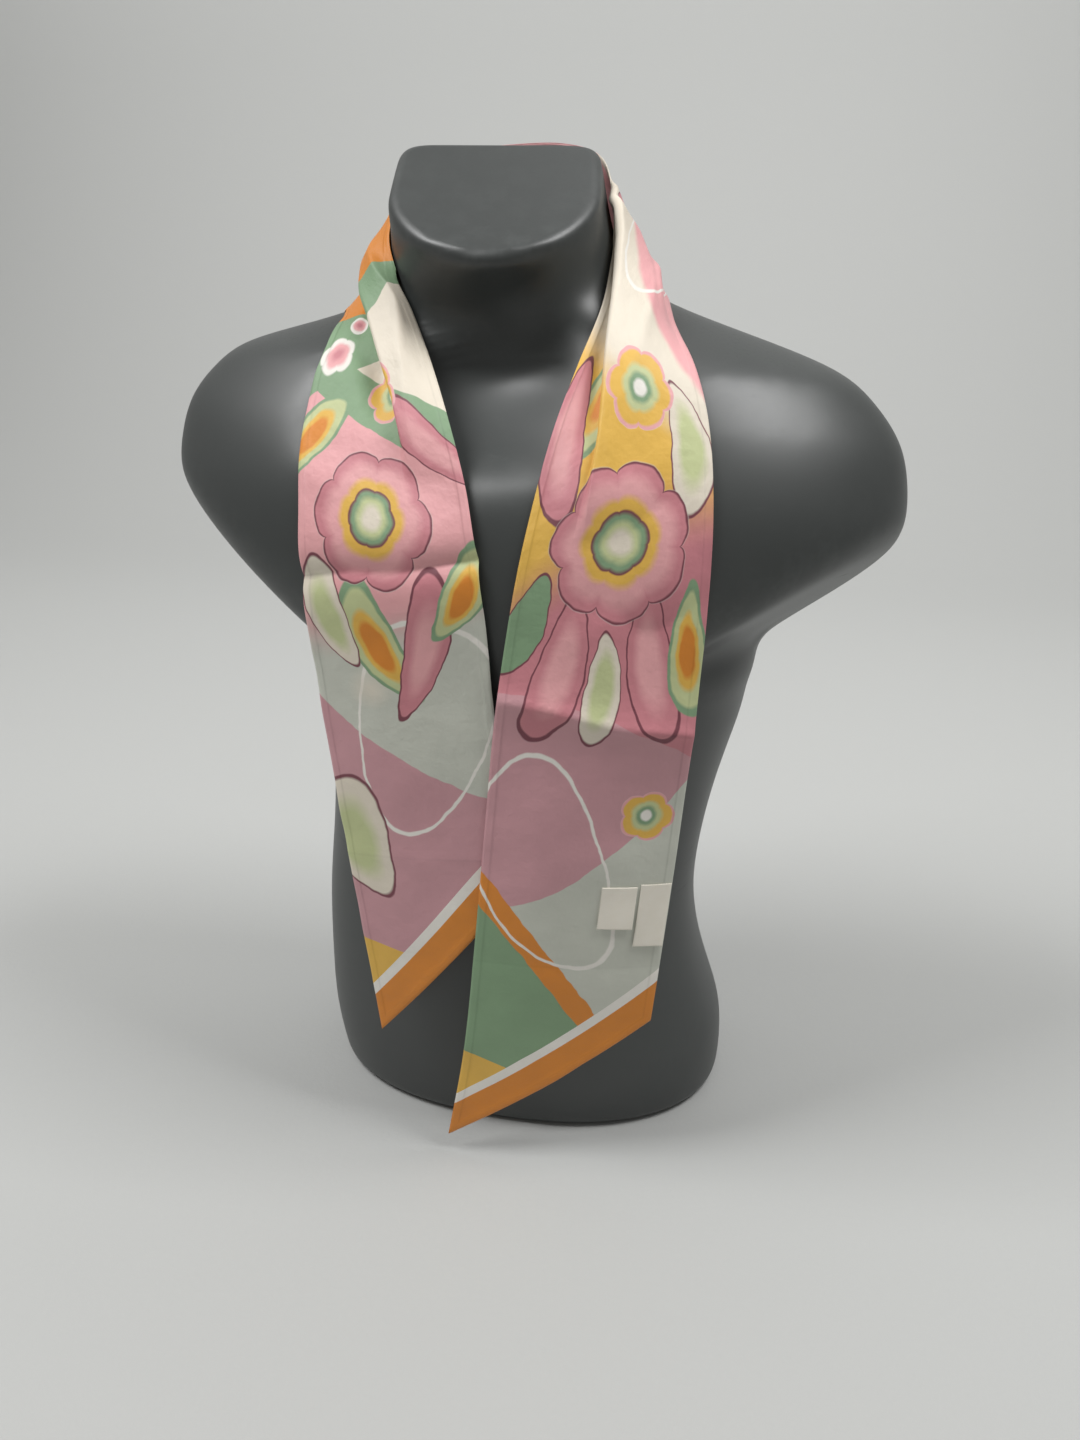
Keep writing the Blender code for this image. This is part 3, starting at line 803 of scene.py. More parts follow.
    def _settled(
        self, out: np.ndarray, start: float, end: float, turn: float, bend: float
    ) -> np.ndarray:
        """How far the part on top of a pleat comes down towards its own edge.

        Args:
            out: How far out each point of the thread lies.
            start: Where the pleat starts.
            end: Where it ends.
            turn: How far it turns, negative where the inner part lies on top.
            bend: How wide each of its turns is.

        Returns:
            The drop at each point.
        """
        t = np.arange(len(out)) * self.thread_step
        top = out[0 if turn < 0 else -1] - out.min()
        side = start if turn < 0 else self.width - end
        room = max(side - (end - start) + bend / 2, self.thread_step)
        from_edge = t if turn < 0 else self.width - t
        share = min(room / self.settling_room, 1)
        return top * np.maximum(1 - from_edge / room, 0) * share

    def slanted(self, along: float, across: float) -> float:
        """Where along the strip a point of an even row really lies, nearer the ends' slant.

        Args:
            along: The distance along the strip, in metres.
            across: The distance from the strip's inner edge, in metres.

        Returns:
            The distance along the strip, in metres.
        """
        if along > self.straight_to:
            share = (along - self.straight_to) / (self.right_tip - self.straight_to)
            return along - share * self.slant_rise * across / self.width
        if along < -self.straight_to:
            share = (along + self.straight_to) / (self.left_tip + self.straight_to)
            return along + share * self.slant_rise * (1 - across / self.width)
        return along

    def place(self, along: float, across: float, lift: float = 0.0) -> Vector:
        """A point of the cloth.

        Args:
            along: How far along the strip it lies.
            across: How far from the inner edge it lies.
            lift: How far out from the cloth's middle it lies.

        Returns:
            The point in the row frame, clear of the form's skin.
        """
        row = (along - self.first) / self.row_step
        column = min(max(across / self.thread_step, 0), self.points.shape[1] - 1.001)
        i, j = int(row), int(column)
        a, b = row - i, column - j
        near = self.points[i : i + 2, j : j + 2]
        flat = (near[0, 0] * (1 - b) + near[0, 1] * b) * (1 - a)
        flat = flat + (near[1, 0] * (1 - b) + near[1, 1] * b) * a
        point = Vector(flat)
        outwards = Vector(self.outwards[i])
        point += outwards * (lift + self.relief(along, point, across))
        skin, normal, _, _ = self.skin.find_nearest(point)
        height = (point - skin).dot(normal)
        return point + normal * max(self.clearance - height, 0)

    def relief(self, along: float, point: Vector, across: float) -> float:
        """How far the cloth stands out at a point for its creases, waves and rippled edges.

        Args:
            along: The distance along the strip, in metres.
            point: Where the point lies in the frame.
            across: The distance from the strip's inner edge, in metres.

        Returns:
            The distance outwards, in metres.
        """
        share = across / self.width
        total = 0.0
        for crease in CREASES:
            off = along - (crease.inner + (crease.outer - crease.inner) * share)
            off += self.crease_sway * math.sin(share * 9 + crease.inner * 40)
            total += crease.height * math.exp(-abs(off) / crease.reach)
            # a valley needs room under it, so the cloth round it stands out
            around = off / crease.reach / self.lift_reach
            total -= min(crease.height, 0) * math.exp(-(around**2))
        for fold in FOLDS:
            run = Vector((fold.end_along - fold.start_along, fold.end_across - fold.start_across))
            off = Vector((along - fold.start_along, across - fold.start_across))
            part = min(max(off.dot(run) / run.length_squared, 0), 1)
            away = (off - run * part).length / fold.reach
            full = ease(self.fold_fade * min(part, 1 - part))
            total += fold.height * full * math.exp(-(away**2) / 2)
        free = ease((abs(along) - self.free_from) / self.free_over)
        wave = noise.noise(point * 14) + 0.5 * noise.noise(point * 31)
        total += self.wave * free * wave
        edge = min(across, self.width - across)
        ripple = noise.noise(Vector((along * 42, 3.7 * round(share), 0.5)))
        ripple *= self.ripple_held + (1 - self.ripple_held) * free
        return total + self.ripple * ripple * math.exp(-edge / self.ripple_reach)


def finished(
    name: str, mesh: bmesh.types.BMesh, material: bpy.types.Material, smooth_angle: float = 40
) -> bpy.types.Object:
    """Makes an object at the origin from a bmesh.

    Args:
        name: The piece's name.
        mesh: The bmesh, which is freed.
        material: What the piece is made of.
        smooth_angle: Edges that turn by more degrees than this stay sharp.

    Returns:
        The new object.
    """
    data = bpy.data.meshes.new(name)
    mesh.to_mesh(data)
    mesh.free()
    data.materials.append(material)
    data.shade_smooth()
    data.set_sharp_from_angle(angle=math.radians(smooth_angle))
    made = bpy.data.objects.new(name, data)
    bpy.context.scene.collection.objects.link(made)
    return made


def give_wall(
    piece: bpy.types.Object, thickness: float, group: str = "", thinnest: float = 0.0
) -> None:
    """Gives a sheet its thickness, half to each side.

    Args:
        piece: The sheet.
        thickness: How thick it is where it is thickest.
        group: The vertex group that says how thick it is, or none.
        thinnest: The share of the thickness where that group is 0.
    """
    wall = piece.modifiers.new("wall", "SOLIDIFY")
    wall.thickness = thickness
    wall.offset = 0
    if group:
        wall.vertex_group = group
        wall.thickness_vertex_group = thinnest


def cloth_grid(
    columns: int, rows: int, spot: Callable[[int, int], tuple[Vector, float, float]]
) -> tuple[bmesh.types.BMesh, list[tuple[float, float]]]:
    """Makes a grid of cloth with its UV map.

    Args:
        columns: How many faces wide it is.
        rows: How many faces long it is.
        spot: Gives a point's place and how far across and along the cloth it lies, from its
            column and its row.

    Returns:
        The bmesh, and how far across and along each of its points lies.
    """
    mesh = bmesh.new()
    bmesh.ops.create_grid(mesh, x_segments=columns, y_segments=rows, size=1)
    uv_map = mesh.loops.layers.uv.new("cloth")
    mesh.verts.index_update()
    placed = []
    for vert in mesh.verts:
        column = round((vert.co.x + 1) / 2 * columns)
        row = round((vert.co.y + 1) / 2 * rows)
        vert.co, across, along = spot(column, row)
        placed.append((across, along))
    for face in mesh.faces:
        for loop in face.loops:
            loop[uv_map].uv = placed[loop.vert.index]
    return mesh, placed


@dataclass(frozen=True)
class PrintedSilk:
    """Silk twill, screen printed: ground blocks, then motifs, then the borders of both ends."""

    name: str = "scarf_silk"
    roughness: float = 0.44
    roughness_change: float = 0.12
    gloss: float = 0.35
    sheen: float = 0.06
    sheen_roughness: float = 0.45
    border: float = 0.031  # how far up the strip the end's coloured band reaches
    line: float = 0.0405  # and the white line above it
    corner: float = 0.030  # the size of the coloured corner at the tip
    corner_slant: float = 0.75
    wander: float = 0.0048  # how unevenly the print's edges are drawn
    wander_scale: float = 55.0
    leaf_taper: float = 0.34
    cloud_scale: float = 38.0  # of the soft patches in the cloth's tone
    cloud_tone: float = 0.16
    fibre_scale: tuple[float, float, float] = (900.0, 2600.0, 1.0)
    fibre_tone: float = 0.05
    seam: float = 0.0055  # how far in from the edge the seam allowance ends
    seam_line: tuple[float, float] = (0.0001, 0.0011)  # where its dark line starts and ends to fade
    seam_tone: float = -0.07
    seam_blur: float = 0.0008
    seam_depth: float = 0.00022
    # painted shade: a thin darker line along each pressed crease, where it starts and ends to fade,
    # and how much darker it is
    painted_crease_shade_reach: tuple[float, float] = (0.0002, 0.0016)
    painted_crease_shade: float = -0.04
    twill_pitch: float = 0.0007
    twill_depth: float = 0.00005
    crumple_scale: float = 70.0
    crumple_depth: float = 0.0009

    def material(self, drape: Drape) -> bpy.types.Material:
        """Makes the material.

        Args:
            drape: The strip, for its sizes.

        Returns:
            The material, which reads the piece's UV map "cloth": across and along, in metres.
        """
        made, graph, shader = new_material(self.name)
        true_place = graph.node("UVMap", uv_map="cloth").outputs[0]
        drift = graph.node("TexNoise", true_place, None, self.wander_scale, 2.0).outputs[1]
        drift = graph.vector("SUBTRACT", drift, (0.5, 0.5, 0.5))
        drift = graph.vector("SCALE", drift, None, None, self.wander)
        place = graph.vector("ADD", true_place, drift)
        across, along, _ = graph.split(true_place)
        from_end, to_tip = self.ends(graph, drape, across, along)
        inside = graph.math("MINIMUM", across, graph.minus(drape.width, across))
        inside = graph.math("MINIMUM", inside, graph.times(from_end, math.sqrt(0.5)))
        cloud = graph.noise(true_place, self.cloud_scale, 3.0)
        fibres = graph.noise(graph.vector("MULTIPLY", true_place, self.fibre_scale), 1.0, 1.0)
        hem = graph.math("ABSOLUTE", graph.minus(inside, self.seam))
        hem = graph.minus(1.0, graph.eased(hem, *self.seam_line))
        # the mask of the pressed creases, where a darker line of painted shade is drawn
        pressed = self.pressed(graph, across, along, drape.width)
        tone = graph.scaled(cloud, self.cloud_tone, 1 - self.cloud_tone / 2)
        tone = graph.times(tone, graph.scaled(fibres, self.fibre_tone, 1 - self.fibre_tone / 2))
        tone = graph.times(tone, graph.scaled(hem, self.seam_tone, 1.0))
        # painted shade: the cloth is darkened along the pressed creases
        tone = graph.times(tone, graph.scaled(pressed, self.painted_crease_shade, 1.0))
        tinted = graph.node("CombineXYZ", tone, tone, tone).outputs[0]
        colour = self.motifs(graph, place, self.grounds(graph, place))
        colour = self.borders(graph, from_end, to_tip, colour)
        graph.fill(shader.inputs["Base Color"], graph.mix(1.0, colour, tinted, "MULTIPLY"))
        least = self.roughness - self.roughness_change / 2
        rough = graph.scaled(cloud, self.roughness_change, least)
        graph.fill(shader.inputs["Roughness"], rough)
        shader.inputs["Specular IOR Level"].default_value = self.gloss
        shader.inputs["Sheen Weight"].default_value = self.sheen
        shader.inputs["Sheen Roughness"].default_value = self.sheen_roughness
        slope = graph.times(graph.plus(across, along), 2 * math.pi / self.twill_pitch)
        twill = graph.scaled(graph.math("SINE", slope), 0.5, 0.5)
        crumple = graph.noise(true_place, self.crumple_scale, 3.0, 0.55)
        step = graph.eased(inside, self.seam - self.seam_blur, self.seam + self.seam_blur)
        normal = graph.bump(crumple, self.crumple_depth)
        normal = graph.bump(graph.minus(1.0, step), self.seam_depth, normal)
        normal = graph.bump(graph.plus(twill, fibres), self.twill_depth, normal)
        graph.fill(shader.inputs["Normal"], normal)
        return made

    def grounds(self, graph: Graph, place: Socket) -> Socket:
        """The blocks of ground colour along the strip.

        Args:
            graph: The graph of the silk's nodes.
            place: The point on the strip, across and along it.

        Returns:
            The ground colour.
        """
        group = edge_group()
        colour = linear(FIRST_GROUND.value)
        for ground in GROUNDS:
            edge = graph.node("Group", place, *ground[:4], node_tree=group).outputs[0]
            colour = graph.mix(edge, colour, linear(ground.dye.value))
        return colour

    def motifs(self, graph: Graph, place: Socket, colour: Socket) -> Socket:
        """The flowers, leaves, spots and loops over a ground colour.

        Args:
            graph: The graph of the silk's nodes.
            place: The point on the strip, across and along it.
            colour: The ground colour.

        Returns:
            The colour with the motifs over it.
        """
        petals, leaf = petals_group(), leaf_group()
        even = (Palette.LOOP, Palette.GLOW, Palette.SPOT)
        for motif in MOTIFS:
            local = graph.node(
                "Mapping",
                place,
                (motif.across, motif.along, 0.0),
                (0.0, 0.0, math.radians(motif.turn)),
                (motif.length, motif.width, 1.0),
                vector_type="TEXTURE",
            ).outputs[0]
            if motif.petals:
                values, group = (float(motif.petals), motif.shape), petals
            else:
                taper = 0.0 if motif.palette in even else self.leaf_taper
                values, group = (motif.shape, taper), leaf
            size = graph.node("Group", local, *values, node_tree=group).outputs[0]
            bands = graph.bands(graph.math("DIVIDE", size, MOTIF_REACH), motif.palette)
            colour = graph.mix(bands.outputs[1], colour, bands.outputs[0])
        return colour

    def ends(
        self, graph: Graph, drape: Drape, across: Socket, along: Socket
    ) -> tuple[Socket, Socket]:
        """How far a point lies up the strip from its slanted end, and in from the tip's edge.

        Args:
            graph: The graph of the silk's nodes.
            drape: The drape, which holds the strip's sizes.
            across: The distance from the strip's inner edge, in metres.
            along: The distance along the strip, in metres.

        Returns:
            The two distances, in metres.
        """
        rise = graph.times(across, drape.slant_rise / drape.width)
        right = graph.minus(graph.minus(drape.right_tip, rise), along)
        left = graph.minus(graph.plus(along, rise), drape.left_tip + drape.slant_rise)
        is_right = graph.math("GREATER_THAN", along, 0.0)
        other = graph.times(graph.minus(1.0, is_right), graph.minus(drape.width, across))
        to_tip = graph.plus(graph.times(is_right, across), other)
        return graph.math("MINIMUM", right, left), to_tip

    def borders(self, graph: Graph, from_end: Socket, to_tip: Socket, colour: Socket) -> Socket:
        """The coloured corner at each tip, the white line and the coloured band of each end.

        Args:
            graph: The graph of the silk's nodes.
            from_end: How far up from the slanted end a point lies.
            to_tip: How far in from the tip's edge it lies.
            colour: The colour of the print.

        Returns:
            The colour with the borders over it.
        """
        reach = graph.scaled(graph.minus(from_end, self.line), self.corner_slant, to_tip)
        for value, limit, dye in (
            (reach, self.corner, Dye.YELLOW),
            (from_end, self.line, Dye.WHITE),
            (from_end, self.border, Dye.ORANGE),
        ):
            within = graph.math("LESS_THAN", value, limit)
            colour = graph.mix(within, colour, linear(dye.value))
        return colour

    def pressed(self, graph: Graph, across: Socket, along: Socket, width: float) -> Socket:
        """1 on the creases pressed across the strip and 0 away from them.

        Args:
            graph: The graph of the silk's nodes.
            across: The distance from the strip's inner edge, in metres.
            along: The distance along the strip, in metres.
            width: How wide the strip is.

        Returns:
            The mask of the creases, along which shade is painted.
        """
        found: Socket = 0.0
        for crease in CREASES:
            slope = (crease.outer - crease.inner) / width
            off = graph.minus(along, graph.scaled(across, slope, crease.inner))
            near = graph.eased(graph.math("ABSOLUTE", off), *self.painted_crease_shade_reach)
            found = graph.math("MAXIMUM", found, graph.minus(1.0, near))
        return found


@dataclass(frozen=True)
class MouldedPlastic:
    """Dark grey plastic with a satin skin, hardly dusty on top and a little rubbed at its edges."""

    name: str = "form_plastic"
    colour: str = "3A3D3C"
    dust: str = "6E6D69"
    rubbed: str = "505352"
    gloss: float = 0.62
    roughness: float = 0.42
    roughness_change: float = 0.06
    cloud_scale: float = 9.0  # of the soft patches in its tone
    cloud_share: float = 0.10
    speck_scale: float = 420.0
    dust_share: float = 0.05
    rubbed_scale: float = 60.0
    rubbed_share: float = 0.4
    scuff_scale: tuple[float, float, float] = (18.0, 18.0, 260.0)
    scuff_share: float = 0.10
    grain: float = 1400.0
    grain_depth: float = 0.00003
    ripple_scale: float = 14.0
    ripple_depth: float = 0.00012

    def material(self) -> bpy.types.Material:
        """Makes the material, which reads object coordinates and the attribute "rubbed".

        Returns:
            The material.
        """
        made, graph, shader = new_material(self.name)
        place = graph.node("TexCoord").outputs["Object"]
        bare = linear(self.rubbed)
        cloud = graph.noise(place, self.cloud_scale, 4.0, 0.6)
        base = graph.mix(graph.times(cloud, self.cloud_share), linear(self.colour), bare)
        up = graph.split(graph.node("NewGeometry").outputs["Normal"])[2]
        specks = graph.eased(graph.noise(place, self.speck_scale, 2.0, 0.7), 0.52, 0.80)
        settled = graph.times(graph.eased(up, 0.25, 0.95), specks)
        base = graph.mix(graph.times(settled, self.dust_share), base, linear(self.dust))
        worn = graph.node("Attribute", attribute_name="rubbed").outputs["Fac"]
        patches = graph.eased(graph.noise(place, self.rubbed_scale, 3.0, 0.7), 0.42, 0.66)
        worn = graph.times(worn, patches)
        base = graph.mix(graph.times(worn, self.rubbed_share), base, bare)
        streak = graph.vector("MULTIPLY", place, self.scuff_scale)
        scuff = graph.eased(graph.noise(streak, 1.0, 3.0, 0.7), 0.66, 0.74)
        base = graph.mix(graph.times(scuff, self.scuff_share), base, bare)
        graph.fill(shader.inputs["Base Color"], base)
        least = self.roughness - self.roughness_change / 2
        rough = graph.scaled(cloud, self.roughness_change, least)
        rough = graph.scaled(graph.plus(scuff, settled), 0.10, rough)
        graph.fill(shader.inputs["Roughness"], rough)
        shader.inputs["Specular IOR Level"].default_value = self.gloss
        normal = graph.bump(graph.noise(place, self.ripple_scale, 2.0), self.ripple_depth)
        grain = graph.noise(place, self.grain, 2.0, 0.6)
        graph.fill(shader.inputs["Normal"], graph.bump(grain, self.grain_depth, normal))
        return made


@dataclass(frozen=True)
class WovenTape:
    """Cream label tape, plainly woven, with nothing woven into it."""

    name: str = "label_woven"
    colour: str = "FAF5EA"
    shade: str = "E6DCC6"
    rib: float = 0.0008
    rib_depth: float = 0.00016
    rib_tone: float = 0.25
    stain_scale: float = 160.0
    stain_tone: float = 0.35
    roughness: float = 0.75
    sheen: float = 0.2

    def material(self) -> bpy.types.Material:
        """Makes the material, which reads the UV map "cloth" in metres.

        Returns:
            The material.
        """
        made, graph, shader = new_material(self.name)
        place = graph.node("UVMap", uv_map="cloth").outputs[0]
        turns = 2 * math.pi / self.rib
        warp, weft = (
            graph.math("SINE", graph.times(way, turns)) for way in graph.split(place)[:2]
        )
        weave = graph.scaled(graph.times(warp, weft), 0.5, 0.5)
        stain = graph.times(graph.noise(place, self.stain_scale, 3.0, 0.6), self.stain_tone)
        dark = graph.plus(graph.times(weave, self.rib_tone), stain)
        colour = graph.mix(dark, linear(self.colour), linear(self.shade))
        graph.fill(shader.inputs["Base Color"], colour)
        shader.inputs["Roughness"].default_value = self.roughness
        shader.inputs["Sheen Weight"].default_value = self.sheen
        graph.fill(shader.inputs["Normal"], graph.bump(weave, self.rib_depth))
        return made


@dataclass(frozen=True)
class Paper:
    """The pale floor, with a faint tooth."""

    name: str = "floor_paper"
    colour: str = "BABBB9"
    roughness: float = 0.7
    tooth: float = 260.0
    tooth_depth: float = 0.0002

    def material(self) -> bpy.types.Material:
        """Makes the material.

        Returns:
            The material.
        """
        made, graph, shader = new_material(self.name)
        place = graph.node("TexCoord").outputs["Object"]
        shader.inputs["Base Color"].default_value = linear(self.colour)
        shader.inputs["Roughness"].default_value = self.roughness
        tooth = graph.noise(place, self.tooth, 3.0)
        graph.fill(shader.inputs["Normal"], graph.bump(tooth, self.tooth_depth))
        return made


@dataclass
class BustForm:
    """The moulded form: the solid's skin, given back its four-sided faces and rounded."""

    weld: float = 0.00002
    flat_angle: float = math.radians(40)  # triangles that meet at less than this become one face
    levels: int = 2
    rubbed_angle: float = math.radians(40)  # an edge that turns by this much is rubbed bare
    throat: tuple[Vector, Vector] = (Vector((-0.10, -0.20, 0.49)), Vector((0.10, 0.0, 0.61)))
    throat_rounds: int = 5  # how often the skin at the throat is evened out
    dip: Vector = Vector((-0.010, 0.0, 0.508))  # the middle of the dip below the neck
    dip_size: float = 0.026
    dip_depth: float = 0.008
    name: str = "bust_form_moulded"

    def build(self, node: bpy.types.Object, material: bpy.types.Material) -> bpy.types.Object:
        """Makes the form.

        Args:
            node: The CAD node that it stands for.
            material: The moulded plastic.

        Returns:
            The finished piece.
        """
        mesh = bmesh.new()
        mesh.from_mesh(node.data)
        bmesh.ops.remove_doubles(mesh, verts=mesh.verts[:], dist=self.weld)
        bmesh.ops.join_triangles(
            mesh,
            faces=mesh.faces[:],
            angle_face_threshold=self.flat_angle,
            angle_shape_threshold=self.flat_angle,
        )
        self.shape_throat(mesh)
        rubbed = mesh.verts.layers.float.new("rubbed")
        for vert in mesh.verts:
            turns = [edge.calc_face_angle_signed(0.0) for edge in vert.link_edges]
            vert[rubbed] = ease(max(turns) / self.rubbed_angle)
        made = finished(self.name, mesh, material, smooth_angle=180)
        rounded = made.modifiers.new("rounded", "SUBSURF")
        rounded.levels = self.levels
        rounded.render_levels = self.levels
        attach(made, "root")
        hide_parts("bust_form")
        return made

    def shape_throat(self, mesh: bmesh.types.BMesh) -> None:
        """Evens out the skin at the throat and presses a dip into it.

        Args:
            mesh: The form's mesh, which is changed.
        """
        low, high = self.throat
        hollow = [v for v in mesh.verts if all(a < b < c for a, b, c in zip(low, v.co, high))]
        for _ in range(self.throat_rounds):
            bmesh.ops.smooth_vert(
                mesh, verts=hollow, factor=0.5, use_axis_x=True, use_axis_y=True, use_axis_z=True
            )
        for vert in hollow:
            aside, above = (vert.co.x - self.dip.x) / 2, vert.co.z - self.dip.z
            near = (aside**2 + above**2) / self.dip_size**2
            vert.co.y += self.dip_depth * math.exp(-near)


@dataclass
class Scarf:
    """The printed strip: one closed wall, thicker over the seam allowance that lies inside it."""

    drape: Drape
    wall: float = 0.0011
    thinnest: float = 0.3  # share of the wall's thickness that is left at the very edge
    plain: float = 0.6  # share of the thickness away from the seams
    seam_allowance: float = 0.0055
    allowance_step: float = 0.0015  # the wall thins past the allowance over this length
    rounding: float = 0.0012  # and at the edge over this one
    rows: int = 500
    inner_columns: int = 26
    fold_columns: int = 8
    back_columns: int = 6
    outer_columns: int = 40
    closest: float = 0.0002
    crowding: float = 1.35  # how much closer together columns lie towards the edges
    name: str = "scarf_strip"

    def columns(self, along: float) -> list[float]:
        """Distances from the inner edge of the points in the row at a distance along the strip.

        Args:
            along: The distance along the strip, in metres.

        Returns:
            The distances in metres, from the inner edge to the outer.
        """
        row = row_at(along)
        length = (Vector(row[1:4]) - Vector(row[4:7])).length
        start, end, _, bend = self.drape.pleat(row, length)
        width = self.drape.width
        start = max(start, self.closest * self.inner_columns)
        end = min(end, width - self.closest * self.outer_columns)
        places = [
            start * (k / self.inner_columns) ** self.crowding for k in range(self.inner_columns + 1)
        ]
        for stop, faces in (
            (start + bend, self.fold_columns),
            (end - bend, self.back_columns),
            (end, self.fold_columns),
        ):
            first = places[-1]
            last = max(stop, first + faces * self.closest)
            places += [first + (last - first) * (k + 1) / faces for k in range(faces)]
        rest = width - places[-1]
        places += [
            width - rest * (1 - (k + 1) / self.outer_columns) ** self.crowding
            for k in range(self.outer_columns)
        ]
        return places

    def thickness(self, along: float, across: float) -> float:
        """The weight for the wall's thickness at a point, less off the seams and at the edge.

        Args:
            along: The distance along the strip, in metres.
            across: The distance from the strip's inner edge, in metres.

        Returns:
            The weight, from 0 to 1.
        """
        drape = self.drape
        edge = min(across, drape.width - across)
        slant = across / drape.width
        to_right = drape.right_tip - drape.slant_rise * slant - along
        to_left = along - drape.left_tip - drape.slant_rise * (1 - slant)
        edge = max(min(edge, to_right * math.sqrt(0.5), to_left * math.sqrt(0.5)), 0)
        inside = ease((edge - self.seam_allowance) / self.allowance_step)
        share = (1 - (1 - self.plain) * inside) * ease(edge / self.rounding)
        return max(share - self.thinnest, 0) / (1 - self.thinnest)

    def build(self, material: bpy.types.Material) -> bpy.types.Object:
        """Makes the strip.

        Args:
            material: The printed silk.

        Returns:
            The finished piece.
        """
        drape = self.drape
        count = self.inner_columns + 2 * self.fold_columns + self.back_columns + self.outer_columns
        span = drape.right_tip - drape.left_tip
        evens = [drape.left_tip + span * row / self.rows for row in range(self.rows + 1)]
        kept = [self.columns(even) for even in evens]

        def spot(column: int, row: int) -> tuple[Vector, float, float]:
            """A point of the strip, and how far across and along it lies.

            Args:
                column: The number of the point in its row.
                row: The number of the row.

            Returns:
                The point, and how far across and along it lies, in metres.
            """
            across = kept[row][column]
            along = drape.slanted(evens[row], across)
            return drape.place(along, across), across, along

        mesh, placed = cloth_grid(count, self.rows, spot)
        deform = mesh.verts.layers.deform.verify()
        for vert, (across, along) in zip(mesh.verts, placed):
            vert[deform][0] = self.thickness(along, across)
        made = finished(self.name, mesh, material, smooth_angle=180)
        made.vertex_groups.new(name="thickness")
        give_wall(made, self.wall, "thickness", self.thinnest)
        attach(made, "root")
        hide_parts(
            "scarf_left_front",
            "scarf_left_neck",
            "scarf_nape",
            "scarf_right_neck",
            "scarf_right_front",
        )
        return made


@dataclass
class Label:
    """A woven label, lying on the strip near the end at +X."""

    node: str
    start: float  # along the strip
    end: float
    inner: float  # across it
    outer: float
    pinked_ends: bool  # the zigzag cut is at both ends along the strip, or else at its inner edge
    lift: float = 0.0009  # from the middle of the strip to its own
    curl: float = 0.0015  # how far its free end stands up
    curl_from: float = 0.25
    curl_slope: float = 1.15
    curl_inner: float = 0.55  # the share of the curl at its inner edge
    thickness: float = 0.0005
    tooth: float = 0.0007
    rows: int = 44
    columns: int = 24

    def build(self, drape: Drape, material: bpy.types.Material) -> bpy.types.Object:
        """Makes the label.

        Args:
            drape: The cloth that it lies on.
            material: The woven tape.

        Returns:
            The finished piece.
        """
        width, length = self.outer - self.inner, self.end - self.start

        def spot(column: int, row: int) -> tuple[Vector, float, float]:
            """A point of the label, and how far across and along it lies.

            Args:
                column: The number of the point in its row.
                row: The number of the row.

            Returns:
                The point, and how far across and along the label it lies, in metres.
            """
            x, y = column / self.columns, row / self.rows
            across, along = self.inner + width * x, self.start + length * y
            if self.pinked_ends and row in (0, self.rows):
                along += self.tooth * (column % 2) * (1 if row == 0 else -1)
            if not self.pinked_ends and column == 0:
                across += self.tooth * (row % 2)
            curl = self.curl * ease(y * self.curl_slope - self.curl_from)
            lift = self.lift + curl * (self.curl_inner + (1 - self.curl_inner) * x)
            return drape.place(along, across, lift), x * width, y * length

        mesh, _ = cloth_grid(self.columns, self.rows, spot)
        made = finished(f"{self.node}_woven", mesh, material)
        give_wall(made, self.thickness)
        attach(made, "root")
        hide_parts(self.node)
        return made


LABELS = (
    Label("label_long", 0.568, 0.612, 0.1005, 0.1195, True),
    Label("label_small", 0.570, 0.599, 0.0760, 0.0985, False),
)


class Lamp(NamedTuple):
    """A soft square lamp: where it hangs, what it points at, its size and its power."""

    name: str
    place: tuple[float, float, float]
    aim: tuple[float, float, float]
    size: float
    power: float


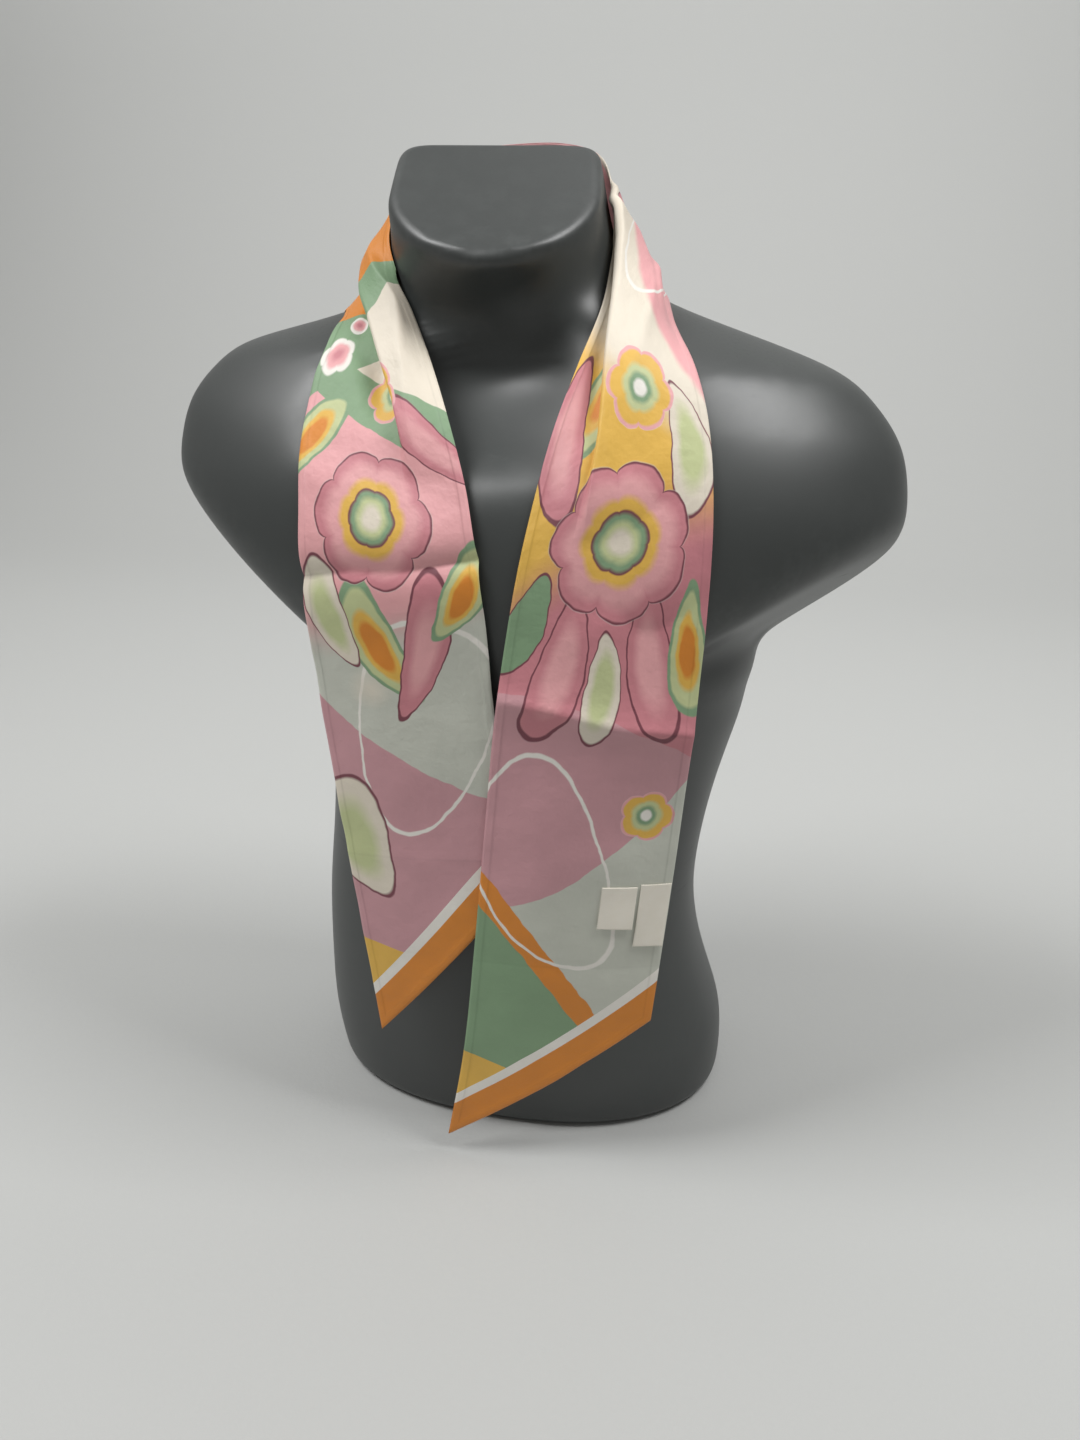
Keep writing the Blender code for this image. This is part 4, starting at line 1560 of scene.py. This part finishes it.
@dataclass
class Studio:
    """The pale floor that rises behind, the soft lights and the camera."""

    floor_width: float = 7.0
    floor_front: float = -3.0
    bend_at: float = 1.6  # the floor bends up from here
    bend_radius: float = 1.4
    wall_height: float = 3.0
    strips: int = 60
    glow: tuple[float, float, float, float] = (1.0, 0.99, 0.97, 1)
    glow_strength: float = 0.22
    lens: float = 27.05
    sensor: float = 36
    camera_place: tuple[float, float, float] = (0.16584, -0.74173, 0.583)
    camera_turn: tuple[float, float, float] = (math.radians(68.7), 0, math.radians(12))
    lamps: tuple[Lamp, ...] = (
        Lamp("left", (-1.05, -0.55, 2.10), (0.0, 0.0, 0.45), 0.9, 33),
        Lamp("right", (1.10, -0.15, 2.10), (0.0, 0.0, 0.45), 0.8, 27),
        Lamp("wall_left", (-1.90, 1.0, 2.6), (-2.1, 3.0, 1.3), 1.8, 31),
        Lamp("wall_right", (0.70, 1.0, 2.6), (0.8, 3.0, 1.3), 1.8, 33),
    )

    def build(self) -> None:
        """Makes the floor, the lights and the camera."""
        mesh = bmesh.new()
        bmesh.ops.create_grid(mesh, x_segments=2, y_segments=self.strips, size=1)
        arc = self.bend_radius * math.pi / 2
        flat = self.bend_at - self.floor_front
        for vert in mesh.verts:
            run = (vert.co.y + 1) / 2 * (flat + arc + self.wall_height)
            angle = min(max(run - flat, 0), arc) / self.bend_radius
            y = self.floor_front + min(run, flat) + self.bend_radius * math.sin(angle)
            z = self.bend_radius * (1 - math.cos(angle)) + max(run - flat - arc, 0)
            vert.co = Vector((vert.co.x * self.floor_width / 2, y, z))
        finished("floor", mesh, Paper().material(), smooth_angle=180)
        for lamp in self.lamps:
            self.hang(lamp)
        world = bpy.data.worlds.new("studio")
        world.use_nodes = True
        background = world.node_tree.nodes["Background"]
        background.inputs["Color"].default_value = self.glow
        background.inputs["Strength"].default_value = self.glow_strength
        bpy.context.scene.world = world
        bpy.context.scene.view_settings.view_transform = "Standard"
        camera = bpy.data.cameras.new("camera")
        camera.lens = self.lens
        camera.sensor_width = self.sensor
        seen = bpy.data.objects.new("camera", camera)
        seen.location = self.camera_place
        seen.rotation_euler = self.camera_turn
        bpy.context.scene.collection.objects.link(seen)
        bpy.context.scene.camera = seen

    def hang(self, lamp: Lamp) -> None:
        """Makes one of the lamps.

        Args:
            lamp: Its name, size, power, place and aim.
        """
        data = bpy.data.lights.new(lamp.name, "AREA")
        data.size = lamp.size
        data.energy = lamp.power
        made = bpy.data.objects.new(lamp.name, data)
        made.location = lamp.place
        way = Vector(lamp.aim) - Vector(lamp.place)
        made.rotation_euler = way.to_track_quat("-Z", "Y").to_euler()
        bpy.context.scene.collection.objects.link(made)


def main() -> None:
    """Builds the piece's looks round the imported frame."""
    logging.basicConfig(level=logging.INFO, format="%(name)s: %(message)s")
    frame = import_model()
    form = BustForm().build(frame["nodes"]["bust_form"], MouldedPlastic().material())
    skin = BVHTree.FromObject(form, bpy.context.evaluated_depsgraph_get())
    LOG.info("bust form built")
    drape = Drape(skin)
    scarf = Scarf(drape)
    strip = scarf.build(PrintedSilk().material(drape))
    LOG.info("scarf strip built")
    tape = WovenTape().material()
    sewn = [label.build(drape, tape) for label in LABELS]
    Studio().build()


if __name__ == "__main__":
    main()
